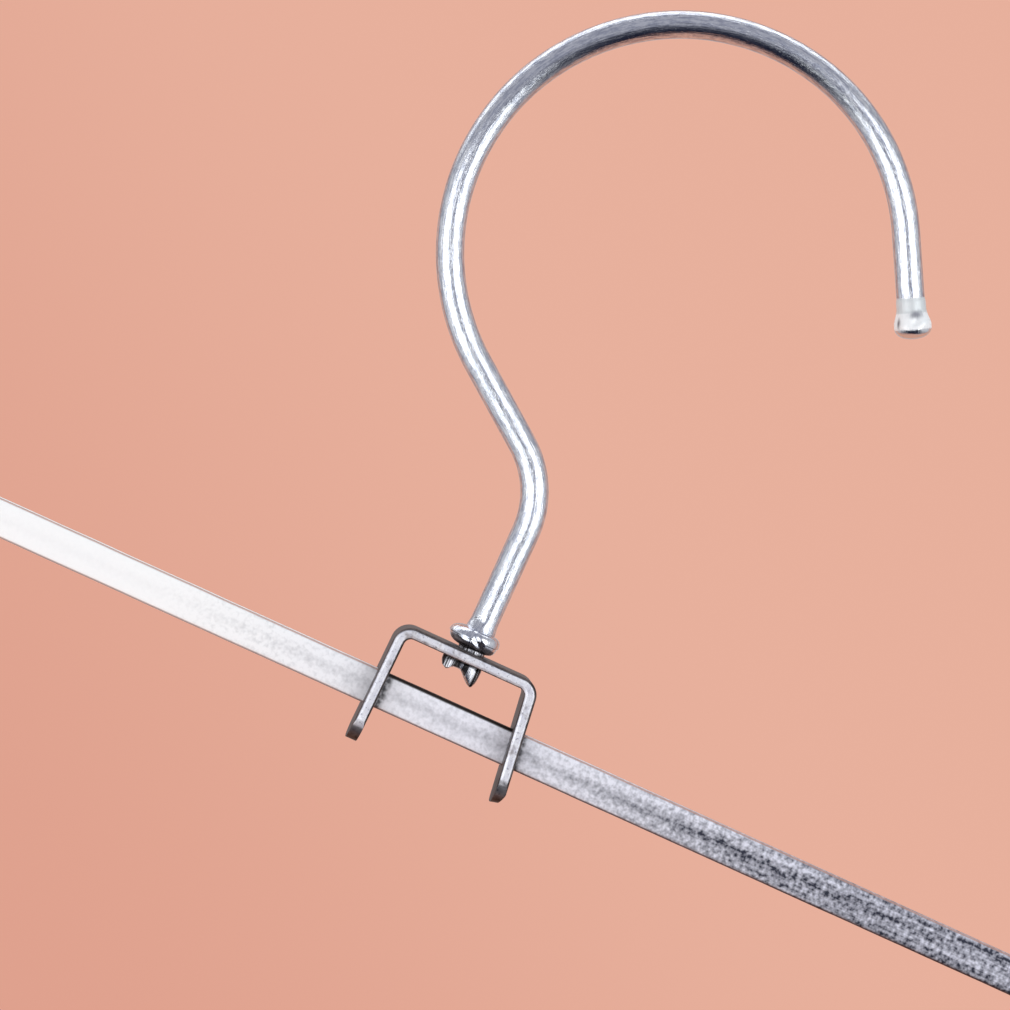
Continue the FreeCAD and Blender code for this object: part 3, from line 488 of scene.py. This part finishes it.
def strip_metal():
    """Dark rolled steel strip with bright sheared edges to the front and back, widened by a painted
    highlight to the left and below.
    """
    material, nodes = new_material("dark_steel_strip")
    coordinates = nodes.add("ShaderNodeTexCoord").outputs
    place = coordinates["Object"]
    normal = nodes.axes(coordinates["Normal"])
    brushed = nodes.spots(place, 2600, 3, 0.6, (1, 0.1, 1))
    cloud = nodes.spots(place, 1100, 3, 0.6)
    smudge = nodes.spots(place, 420, 3, 0.65)

    # Dark tips, higher up on the right leg
    right_leg = nodes.span(nodes.in_mm(nodes.axes(place)[0]), -1, 1, 0, 1.3)
    high = nodes.less(nodes.in_mm(nodes.axes(place)[2]), right_leg)
    tip = nodes.span(high, BAR_MIDDLE - 4.6, BAR_MIDDLE - 5.5)

    # Bright sheared edges to the front and back, with a painted highlight reaching further round the
    # edge to the left and below, toward the main light
    toward_main_light = nodes.product(nodes.total(normal[0], normal[2]), -0.22)
    ragged = nodes.product(nodes.less(cloud, 0.5), 0.14)
    facing = nodes.total(nodes.calc("ABSOLUTE", normal[1]), toward_main_light, ragged)
    sheared_and_lit = nodes.product(nodes.span(facing, 0.70, 0.96), nodes.span(tip, 0, 1, 1, 0.3))

    rolled = nodes.mix(nodes.span(cloud, 0.3, 0.7), ROLLED_DARK, ROLLED_LIGHT)
    tip_darkening = nodes.product(tip, nodes.span(cloud, 0.35, 0.65, 0.95, 0.45))
    rolled = nodes.mix(tip_darkening, rolled, TIP_DARKENED)
    bright = nodes.mix(nodes.span(cloud, 0.3, 0.7), SHEARED_LILAC, SHEARED_WHITE)
    bright = nodes.mix(nodes.span(brushed, 0.56, 0.72), bright, SHEARED_GREY)
    bright = nodes.mix(nodes.span(smudge, 0.52, 0.72, 0, 0.75), bright, SMUDGE_BROWN)
    colour = nodes.mix(sheared_and_lit, rolled, bright)
    rough = nodes.ramp(cloud, 0.3, 0.7, 0.36, 0.50)
    feed_shader(nodes, colour, rough, nodes.span(sheared_and_lit, 0, 1, 1.0, 0.6), brushed, 0.03)
    return material


# Sheet, spring wire and vinyl of the clips

SHEET_METALLIC = 0.78
SHEET_LIGHT, SHEET_DARK, SHEET_ROUGH = (0.82, 0.83, 0.85, 1), (0.70, 0.71, 0.74, 1), 0.29
PIN_LIGHT, PIN_DARK, PIN_ROUGH = (0.70, 0.70, 0.71, 1), (0.58, 0.58, 0.60, 1), 0.26
SPRING_LIGHT, SPRING_DARK, SPRING_ROUGH = (0.50, 0.50, 0.51, 1), (0.38, 0.38, 0.40, 1), 0.26
VINYL_BLACK = (0.018, 0.018, 0.019, 1)
VINYL_RUBBED = (0.050, 0.049, 0.048, 1)


def sheet_metal(name, light, dark, rough):
    """Plated steel: fine rolled lines and a soft cloud in the gloss."""
    material, nodes = new_material(name)
    place = nodes.add("ShaderNodeTexCoord").outputs["Object"]
    lines = nodes.spots(place, 1700, 3, 0.6, (0.05, 1, 1))
    cloud = nodes.spots(place, 260, 3, 0.6)
    colour = nodes.mix(nodes.span(cloud, 0.3, 0.7), light, dark)
    gloss = nodes.ramp(lines, 0.3, 0.7, rough - 0.05, rough + 0.07)
    height = nodes.total(lines, nodes.product(cloud, 0.6))
    feed_shader(nodes, colour, gloss, SHEET_METALLIC, height, 0.03)
    return material


def vinyl():
    """Matt black soft vinyl with a fine pebble and rubbed grey patches."""
    material, nodes = new_material("black_vinyl")
    place = nodes.add("ShaderNodeTexCoord").outputs["Object"]
    pebble = nodes.add("ShaderNodeTexVoronoi", {0: place, "Scale": 2600.0}).outputs[0]
    wear_and_shadow = nodes.spots(place, 240, 4, 0.65)
    colour = nodes.mix(nodes.span(wear_and_shadow, 0.42, 0.72), VINYL_BLACK, VINYL_RUBBED)
    rough = nodes.ramp(wear_and_shadow, 0.3, 0.7, 0.48, 0.62)
    feed_shader(nodes, colour, rough, 0.0, pebble, 0.04, 0.7)
    return material


# Meshes, with angles in degrees

SMOOTH_BELOW = 50
FLAT_BELOW = 1
WELD_BELOW = 0.002


def place_object(name, mesh, material):
    mesh.materials.append(material)
    placed = bpy.data.objects.new(name, mesh)
    scene.collection.objects.link(placed)
    return placed


def unroll(mesh, unrolled):
    """Unrolled wire as a map; faces that close the round go on past its end."""
    layer = mesh.uv_layers.new(name=WIRE_UV)
    for polygon in mesh.polygons:
        corners = [(loop, unrolled[mesh.loops[loop].vertex_index]) for loop in polygon.loop_indices]
        rounds = [around for loop, (along, around) in corners]
        closes = max(rounds) - min(rounds) > WIRE_ROUND / 2
        for loop, (along, around) in corners:
            past = WIRE_ROUND if closes and around < WIRE_ROUND / 2 else 0
            layer.data[loop].uv = (along, around + past)


def new_piece(name, points, faces, material, unrolled=None, sharp=40):
    """Smooth piece from points in millimetres, with edges above an angle kept sharp."""
    mesh = bpy.data.meshes.new(name)
    mesh.from_pydata([Vector(point) * MM for point in points], [], faces)
    if unrolled:
        unroll(mesh, unrolled)
    mesh.validate()
    mesh.shade_smooth()
    mesh.set_sharp_from_angle(angle=math.radians(sharp))
    return place_object(name, mesh, material)


def join_rings(rings, around, first=0):
    """Faces between rings that each have a number of points around."""
    faces = []
    for ring in range(rings - 1):
        low, high = first + ring * around, first + (ring + 1) * around
        for step in range(around):
            other = (step + 1) % around
            faces.append((low + step, low + other, high + other, high + step))
    return faces


def close_ends(rings, around):
    last = (rings - 1) * around
    return [tuple(reversed(range(around))), tuple(last + step for step in range(around))]


def even_normals(mesh):
    """Smooth normals led by the largest faces, so that flat plates stay flat."""
    faces_at = [[] for vertex in mesh.vertices]
    for polygon in mesh.polygons:
        for vertex in polygon.vertices:
            faces_at[vertex].append(polygon)
    limit = math.cos(math.radians(SMOOTH_BELOW))
    normals = [None] * len(mesh.loops)
    for polygon in mesh.polygons:
        for loop, vertex in zip(polygon.loop_indices, polygon.vertices):
            near = [face for face in faces_at[vertex] if face.normal.dot(polygon.normal) > limit]
            normals[loop] = sum((face.normal * face.area for face in near), Vector()).normalized()
    mesh.shade_smooth()
    mesh.normals_split_custom_set(normals)


def softened_copy(node, name, width, material, segments=2, corner=32):
    """New piece with a CAD node's shape and its hard edges slightly rounded."""
    work = bmesh.new()
    work.from_mesh(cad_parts[node].data)
    bmesh.ops.remove_doubles(work, verts=work.verts, dist=WELD_BELOW * MM)
    bmesh.ops.dissolve_limit(work, angle_limit=math.radians(FLAT_BELOW), verts=work.verts,
                             edges=work.edges)
    hard = [edge for edge in work.edges
            if len(edge.link_faces) == 2 and edge.calc_face_angle(0) > math.radians(corner)]
    bmesh.ops.bevel(work, geom=hard, offset=width * MM, offset_type="OFFSET", segments=segments,
                    profile=0.5, affect="EDGES", clamp_overlap=True)
    bmesh.ops.triangulate(work, faces=[face for face in work.faces if len(face.verts) > 4])
    mesh = bpy.data.meshes.new(name)
    work.to_mesh(mesh)
    work.free()
    even_normals(mesh)
    return place_object(name, mesh, material)


def dress(piece, body, node):
    """The piece stands for a CAD node, moves with its body and has its finish."""
    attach(piece, body)
    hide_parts(node)


def step_up(value, low, high):
    """Eased step from 0 at low to 1 at high."""
    share = min(max((value - low) / (high - low), 0), 1)
    return share * share * (3 - 2 * share)


# Middle line of the hook: runs with their length, bends with their radius and degrees

HOOK_STEPS = (
    ("run", 16.3, 0),
    ("left", 12.1, 53.3),
    ("run", 11.4, 0),
    ("right", 28.1, 85.3),
    ("right", 28.7, 69.0),
    ("right", 27.1, 50.2),
    ("run", 11.8, 0),
)


def right_of(heading):
    return Vector((math.cos(heading), 0, -math.sin(heading)))


def step_length(kind, size, turn):
    return size if kind == "run" else size * math.radians(turn)


def hook_length():
    return sum(step_length(*step) for step in HOOK_STEPS)


def along_hook(distance):
    """Point and heading on the wire's middle line, which starts at the bracket's top
    and goes straight on past its last run."""
    place, heading = Vector((0, 0, 0)), 0.0
    for step in HOOK_STEPS:
        kind, size, turn = step
        gone = distance if step == HOOK_STEPS[-1] else min(distance, step_length(*step))
        if kind == "run":
            place = place + Vector((math.sin(heading), 0, math.cos(heading))) * gone
        else:
            side = 1 if kind == "right" else -1
            centre = place + right_of(heading) * side * size
            heading += side * gone / size
            place = centre - right_of(heading) * side * size
        distance -= gone
        if distance <= 0:
            break
    return place, heading


# Surface of the hook

WIRE_R = 1.75
WIRE_ROUND = 2 * math.pi * WIRE_R
WIRE_BOTTOM = -1.45
WIRE_WAVE, WAVES_ALONG, WAVES_AROUND = 0.007, 0.16, 0.7
RING_POINTS = 56
RING_START = -1.5 * math.pi
RING_ANGLES = [RING_START + 2 * math.pi * step / RING_POINTS for step in range(RING_POINTS)]
IN_FRONT = -math.pi / 2
BACKWARD = Vector((0, 1, 0))
# Distance between rings, which is fine near the bracket and near the tip
SPACING, FINE_SPACING, FINE_UP_TO, FINE_FROM_TIP = 0.35, 0.09, 5.5, 4.0
LAST_ROOM, LAST_RING = 0.03, 0.012

# Collar, and the parting groove across its front
COLLAR_MIDDLE, COLLAR_HALF, COLLAR_PROUD = 1.62, 1.22, 1.33
COLLAR_SHIFT, SHIFT_HALF = -0.33, 1.35
COLLAR_FULLNESS, COLLAR_OVAL, OVAL_TURN = 2.4, 0.05, 0.8
GROOVE_AT, GROOVE_SLANT, GROOVE_WIDTH, GROOVE_SHARE = IN_FRONT + 0.10, 0.45, 0.16, 0.30
# Flare above the collar, and the flat that a die pressed in it, which ends at a slant
FLARE_START, FLARE_FADE, FLARE_END, FLARE_PROUD = 1.6, 2.7, 4.2, 0.16
DIE_AT, DIE_WIDTH, DIE_DENT = IN_FRONT - 0.75, 0.55, 0.13
DIE_END, DIE_SLANT, DIE_STEP = 4.4, 0.9, 0.25
# Upset tip, and the lumpy ball with a crease down its front
UPSET_PROUD, UPSET_FULL, UPSET_END = 0.09, 2.9, 3.6
BALL_R, BALL_DROP, BALL_NECK = 2.34, 1.6, 2.2
BALL_FULLNESS, BALL_SQUARENESS = 2.4, 2.2
BALL_LUMPS, LUMPS_AROUND, LUMPS_ALONG = 0.05, 1.6, 1.1
CREASE_DENT, CREASE_WIDTH, CREASE_SLANT, CREASE_FADE = 0.12, 0.24, 0.19, 0.9

# Depth of the staked end below the strip, from left to right
STAKE_DEPTHS = (
    (-2.95, 0.6), (-2.9, 0.75), (-2.65, 1.25), (-2.05, 1.6), (-1.75, 1.45), (-1.4, 1.0), (-0.65, 0.95),
    (-0.07, 1.1), (0.43, 1.72), (1.1, 2.27), (1.6, 2.55), (1.8, 2.45), (2.05, 1.85), (2.2, 0.92),
)
STAKE_TOP, STAKE_MIDDLE = -1.52, -0.40
STAKE_HALF_X, STAKE_HALF_Y, STAKE_SQUARE = 2.6, 1.42, 0.8
STAKE_ROUNDING, STAKE_TAPER = 0.22, 0.97
# Its rings, as shares of the way out across the underside and of the depth up the sides
STAKE_UNDERSIDE = (0.12, 0.28, 0.44, 0.58, 0.70, 0.80, 0.88, 0.94, 0.98)
STAKE_SIDES = (0.72, 0.45, 0.2)
# Where the underside, sides and top of the staked end lie along the unrolled wire
UNDERSIDE_AT, SIDES_AT, SIDES_LENGTH, TOP_AT = -3.0, -2.0, 0.3, -1.6


def turned(angle, start):
    """Angle from a start, within half a turn either way."""
    return math.remainder(angle - start, 2 * math.pi)


def stake_depth(x):
    for (left, one), (right, two) in zip(STAKE_DEPTHS, STAKE_DEPTHS[1:]):
        if x <= right:
            share = min(max((x - left) / (right - left), 0), 1)
            return one + (two - one) * share
    return STAKE_DEPTHS[-1][1]


def collar_radius(distance, angle):
    """Bead above the bracket, with a slanting parting groove in front."""
    high = (distance - COLLAR_MIDDLE) / COLLAR_HALF
    if abs(high) >= 1:
        return 0
    groove = turned(angle, GROOVE_AT - GROOVE_SLANT * high)
    swell = math.sqrt(1 - abs(high) ** COLLAR_FULLNESS)
    bead = COLLAR_PROUD * (1 - GROOVE_SHARE * math.exp(-(groove / GROOVE_WIDTH) ** 2))
    bead *= 1 + COLLAR_OVAL * math.sin(2 * angle + OVAL_TURN)
    return WIRE_R + bead * swell


def die_marks(distance, angle):
    """Flare of the wire out of the collar, less the flat that a die pressed in it."""
    if distance <= FLARE_START:
        return 0
    flare = 1 - step_up(distance, FLARE_FADE, FLARE_END)
    flat = turned(angle, DIE_AT)
    edge = DIE_END + DIE_SLANT * flat
    dent = (1 - step_up(distance, edge - DIE_STEP, edge)) * math.exp(-(flat / DIE_WIDTH) ** 4)
    return FLARE_PROUD * flare - DIE_DENT * dent


def headed_radius(radius, from_end, angle):
    """Radius near the tip, where the wire is upset and headed to a dented ball."""
    radius += UPSET_PROUD * (1 - step_up(from_end, UPSET_FULL, UPSET_END))
    if from_end >= BALL_NECK:
        return radius
    across, back = math.cos(angle) * LUMPS_AROUND, math.sin(angle) * LUMPS_AROUND
    lumps = BALL_LUMPS * noise.noise(Vector((across, back, from_end * LUMPS_ALONG)))
    crease = turned(angle, IN_FRONT - CREASE_SLANT * from_end)
    dent = CREASE_DENT * math.exp(-(crease / CREASE_WIDTH) ** 2)
    dent *= step_up(from_end, -CREASE_FADE, CREASE_FADE)
    full = BALL_R * (1 + lumps - dent)
    if from_end < 0:
        return full * max(1 - (-from_end / BALL_DROP) ** BALL_FULLNESS, 0) ** (1 / BALL_SQUARENESS)
    return radius + (full - radius) * (1 - step_up(from_end, 0, BALL_NECK))


def wire_radius(distance, angle):
    """Radius of the slightly wavy wire with what is worked into it."""
    across, back = math.cos(angle) * WAVES_AROUND, math.sin(angle) * WAVES_AROUND
    wave = WIRE_WAVE * noise.noise(Vector((distance * WAVES_ALONG, across, back)))
    radius = WIRE_R * (1 + wave)
    radius = max(radius, collar_radius(distance, angle)) + die_marks(distance, angle)
    return headed_radius(radius, hook_length() - distance, angle)


def ring_distances():
    """Places of the wire's rings, closer together at both ends."""
    tip = hook_length()
    distances = []
    distance = WIRE_BOTTOM
    while distance < tip + BALL_DROP - LAST_ROOM:
        distances.append(distance)
        worked = distance < FINE_UP_TO or tip - distance < FINE_FROM_TIP
        distance += FINE_SPACING if worked else SPACING
    return distances + [tip + BALL_DROP - LAST_RING]


def stake_rings():
    """Rings of the staked end with their places along the unrolled wire: out across
    its underside, then up its sides."""
    rim = []
    for angle in RING_ANGLES:
        across, back = math.cos(angle), math.sin(angle)
        rim.append((STAKE_HALF_X * math.copysign(abs(across) ** STAKE_SQUARE, across),
                    STAKE_HALF_Y * math.copysign(abs(back) ** STAKE_SQUARE, back)))

    def ring(out, down, rounding=0.0):
        places = []
        for x, y in rim:
            x, y = STAKE_MIDDLE + x * out, y * out
            rounded = 1 - rounding * (abs(y) / STAKE_HALF_Y) ** 3
            places.append(Vector((x, y, STAKE_TOP - stake_depth(x) * down * rounded)))
        return places

    rings = [(ring(out, 1, STAKE_ROUNDING), UNDERSIDE_AT + out) for out in STAKE_UNDERSIDE]
    rings += [(ring(1, down), SIDES_AT + (1 - down) * SIDES_LENGTH) for down in STAKE_SIDES]
    rings.append((ring(STAKE_TAPER, 0), TOP_AT))
    return rings


def wire_rings():
    """Rings of the wire with their places along it, from the bracket to the ball."""
    rings = []
    for distance in ring_distances():
        place, heading = along_hook(max(distance, 0))
        if distance < 0:
            place = Vector((0, 0, distance))
        aside = right_of(heading)
        shift = COLLAR_SHIFT * max(1 - ((distance - COLLAR_MIDDLE) / SHIFT_HALF) ** 2, 0)
        ring = []
        for angle in RING_ANGLES:
            radius = wire_radius(distance, angle)
            across = radius * math.cos(angle) + shift
            ring.append(place + aside * across + BACKWARD * radius * math.sin(angle))
        rings.append((ring, distance))
    return rings


def make_hook(material):
    """One closed surface from the staked end along the wire to the ball."""
    end = hook_length() + BALL_DROP
    rings = stake_rings() + wire_rings()
    points = [Vector((STAKE_MIDDLE, 0, STAKE_TOP - stake_depth(STAKE_MIDDLE)))]
    unrolled = [(UNDERSIDE_AT, 0)]
    for ring, distance in rings:
        points += ring
        unrolled += [(distance, (angle - RING_START) * WIRE_R) for angle in RING_ANGLES]
    points.append(along_hook(end)[0])
    unrolled.append((end, 0))
    first, last = 1, 1 + (len(rings) - 1) * RING_POINTS
    next_step = [(step + 1) % RING_POINTS for step in range(RING_POINTS)]
    faces = [(0, first + other, first + step) for step, other in enumerate(next_step)]
    faces += join_rings(len(rings), RING_POINTS, first)
    faces += [(last + step, last + other, len(points) - 1) for step, other in enumerate(next_step)]
    lifted = [point + Vector((0, 0, BRACKET_TOP)) for point in points]
    piece = new_piece("bent_hook_wire", lifted, faces, material, unrolled, sharp=50)
    dress(piece, "hook", "hook")


# Bracket

STRIP_THICK = 1.4
STRIP_EDGE = 0.25
SLANT_DEPTH, SLANT_IN, SLANT_UP = 1.6, 0.55, 0.25
SLANT_MARGIN, SLANT_INNER_SHARE = 0.5, 0.25


def make_bracket(material):
    """Folded strip, with the tip of its right leg sheared off at a slant."""
    piece = softened_copy("bracket", "folded_bracket", STRIP_EDGE, material, segments=3, corner=40)
    low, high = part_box("bracket")
    inner = high.x - STRIP_THICK * MM
    for vertex in piece.data.vertices:
        place = vertex.co
        lowness = 1 - (place.z - low.z) / (SLANT_DEPTH * MM)
        if place.x > inner - SLANT_MARGIN * MM and lowness > 0:
            outward = (place.x - inner) / (high.x - inner)
            share = SLANT_INNER_SHARE + (1 - SLANT_INNER_SHARE) * outward
            place.x -= SLANT_IN * MM * share * lowness
            place.z += SLANT_UP * MM * outward * lowness
    even_normals(piece.data)
    dress(piece, "crossbar", "bracket")


# Bar

BAR_HALF_Y = (BAR_HIGH.y - BAR_LOW.y) / 2
BAR_HALF_Z = (BAR_HIGH.z - BAR_LOW.z) / 2
BAR_EDGE, EDGE_STEPS = 0.5, 5
BAR_CROWN = 0.05
BAR_WAVE, BAR_WAVES_ALONG, BAR_WAVES_ACROSS, BAR_WAVES_START = 0.022, 0.22, 0.3, 4
BAR_SPACING = 0.75
NARROW_FACE_SHARES = (0.25, 0.5, 0.75)
WIDE_FACE_SHARES = (0.15, 0.3, 0.45, 0.5, 0.55, 0.7, 0.85)


def bar_outline():
    """Section of the bar as y and z from its middle: each rounded edge, then a face."""
    outline = []
    for y_side, z_side, start in ((-1, -1, 180), (1, -1, 270), (1, 1, 0), (-1, 1, 90)):
        y, z = y_side * (BAR_HALF_Y - BAR_EDGE), z_side * (BAR_HALF_Z - BAR_EDGE)
        for step in range(EDGE_STEPS + 1):
            angle = math.radians(start + 90 * step / EDGE_STEPS)
            outline.append((y + BAR_EDGE * math.cos(angle), z + BAR_EDGE * math.sin(angle)))
        if y_side == z_side:
            outline += [(y * (1 - 2 * share), z_side * BAR_HALF_Z) for share in NARROW_FACE_SHARES]
        else:
            outline += [(y_side * BAR_HALF_Y, z * (1 - 2 * share)) for share in WIDE_FACE_SHARES]
    return outline


def make_bar(material):
    """Flat bar with slightly crowned faces, rounded edges and a wavy outline."""
    outline = bar_outline()
    length = BAR_HIGH.x - BAR_LOW.x
    rows = round(length / BAR_SPACING) + 1
    points = []
    for row in range(rows):
        x = BAR_LOW.x + length * row / (rows - 1)
        for y, z in outline:
            bow = BAR_CROWN * min((z / (BAR_HALF_Z - BAR_EDGE)) ** 2, 1)
            edge = BAR_WAVES_START + math.copysign(1, z)
            wave = BAR_WAVE * noise.noise(Vector((x * BAR_WAVES_ALONG, y * BAR_WAVES_ACROSS, edge)))
            high = BAR_MIDDLE + z + wave * abs(z) / BAR_HALF_Z
            points.append((x, y * (1 - bow / BAR_HALF_Y), high))
    faces = join_rings(rows, len(outline)) + close_ends(rows, len(outline))
    piece = new_piece("flat_bar", points, faces, material)
    dress(piece, "crossbar", "bar")


# Springs

COIL_R, COIL_PITCH, COIL_TURNS, COIL_STEPS = 1.95, 1.5, 3.5, 32
COIL_HALF = COIL_TURNS * COIL_PITCH / 2
SPRING_WIRE_R, SPRING_AROUND = 0.45, 14
LEG_RISE, LEG_BEND, LEG_REACH = 4.0, 1.2, 6.5
LEG_LEAN = LEG_RISE * COIL_PITCH / (2 * math.pi * COIL_R)
LEG_STEPS, BEND_STEPS = 6, 8


def spring_leg(x_root, x_tip, side):
    """Points from the tip of a leg, round its bend, to where it joins the coil."""
    straight = LEG_REACH - COIL_R - LEG_BEND
    bent = LEG_RISE - LEG_BEND
    points = []
    for step in range(LEG_STEPS):
        points.append(Vector((x_tip, side * (LEG_REACH - straight * step / LEG_STEPS), LEG_RISE)))
    for step in range(BEND_STEPS + 1):
        angle = math.radians(90 * step / BEND_STEPS)
        y = COIL_R + LEG_BEND - LEG_BEND * math.sin(angle)
        points.append(Vector((x_tip, side * y, bent + LEG_BEND * math.cos(angle))))
    for step in range(1, LEG_STEPS):
        share = step / LEG_STEPS
        points.append(Vector((x_tip + (x_root - x_tip) * share, side * COIL_R, bent * (1 - share))))
    return points


def spring_line():
    """Middle line of the spring from its pin: a leg, the coil, the other leg."""
    line = spring_leg(-COIL_HALF, -COIL_HALF - LEG_LEAN, 1)
    for step in range(round(COIL_TURNS * COIL_STEPS) + 1):
        angle = 2 * math.pi * step / COIL_STEPS
        x = COIL_PITCH * step / COIL_STEPS - COIL_HALF
        line.append(Vector((x, COIL_R * math.cos(angle), -COIL_R * math.sin(angle))))
    line += reversed(spring_leg(COIL_HALF, COIL_HALF + LEG_LEAN, -1))
    return line


def make_spring(hand, material):
    """Torsion spring, with one leg hooked through each jaw."""
    low, high = (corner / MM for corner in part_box(f"{hand}_pivot_pin"))
    pin = (low + high) / 2
    line = spring_line()
    points = []
    normal = Vector((1, 0, 0))
    for step, place in enumerate(line):
        ahead = (line[min(step + 1, len(line) - 1)] - line[max(step - 1, 0)]).normalized()
        normal = (normal - ahead * normal.dot(ahead)).normalized()
        aside = ahead.cross(normal)
        for turn in range(SPRING_AROUND):
            angle = 2 * math.pi * turn / SPRING_AROUND
            outward = normal * math.cos(angle) + aside * math.sin(angle)
            points.append(pin + place + outward * SPRING_WIRE_R)
    faces = join_rings(len(line), SPRING_AROUND) + close_ends(len(line), SPRING_AROUND)
    piece = new_piece(f"{hand}_wound_spring", points, faces, material)
    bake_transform(piece)
    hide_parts(f"{hand}_spring")


# Clips and end caps

CLIP_EDGE = 0.12


def paint_node(node, material):
    """Finish on a CAD node that is shown as it is."""
    node_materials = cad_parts[node].data.materials
    node_materials.clear()
    node_materials.append(material)


def make_clip(hand, sheet, pin_steel, spring_steel, black_vinyl):
    for jaw, body in (("rear", f"{hand}_clip"), ("front", f"{hand}_jaw")):
        plate = softened_copy(f"{hand}_{jaw}_jaw", f"{hand}_{jaw}_plate", CLIP_EDGE, sheet)
        dress(plate, body, f"{hand}_{jaw}_jaw")
        grip = softened_copy(f"{hand}_{jaw}_sleeve", f"{hand}_{jaw}_grip", CLIP_EDGE, black_vinyl)
        dress(grip, body, f"{hand}_{jaw}_sleeve")
    make_spring(hand, spring_steel)
    paint_node(f"{hand}_pivot_pin", pin_steel)
    paint_node(f"{hand}_end_cap", black_vinyl)


# The whole scene

make_camera()
make_world()
for softbox in SOFTBOXES:
    add_softbox(*softbox)
make_floor()

make_hook(hook_metal())
make_bar(bar_metal())
make_bracket(strip_metal())

clip_sheet = sheet_metal("plated_clip_sheet", SHEET_LIGHT, SHEET_DARK, SHEET_ROUGH)
pin_plating = sheet_metal("plated_pin", PIN_LIGHT, PIN_DARK, PIN_ROUGH)
spring_wire = sheet_metal("drawn_spring_wire", SPRING_LIGHT, SPRING_DARK, SPRING_ROUGH)
clip_vinyl = vinyl()
for hand in ("left", "right"):
    make_clip(hand, clip_sheet, pin_plating, spring_wire, clip_vinyl)
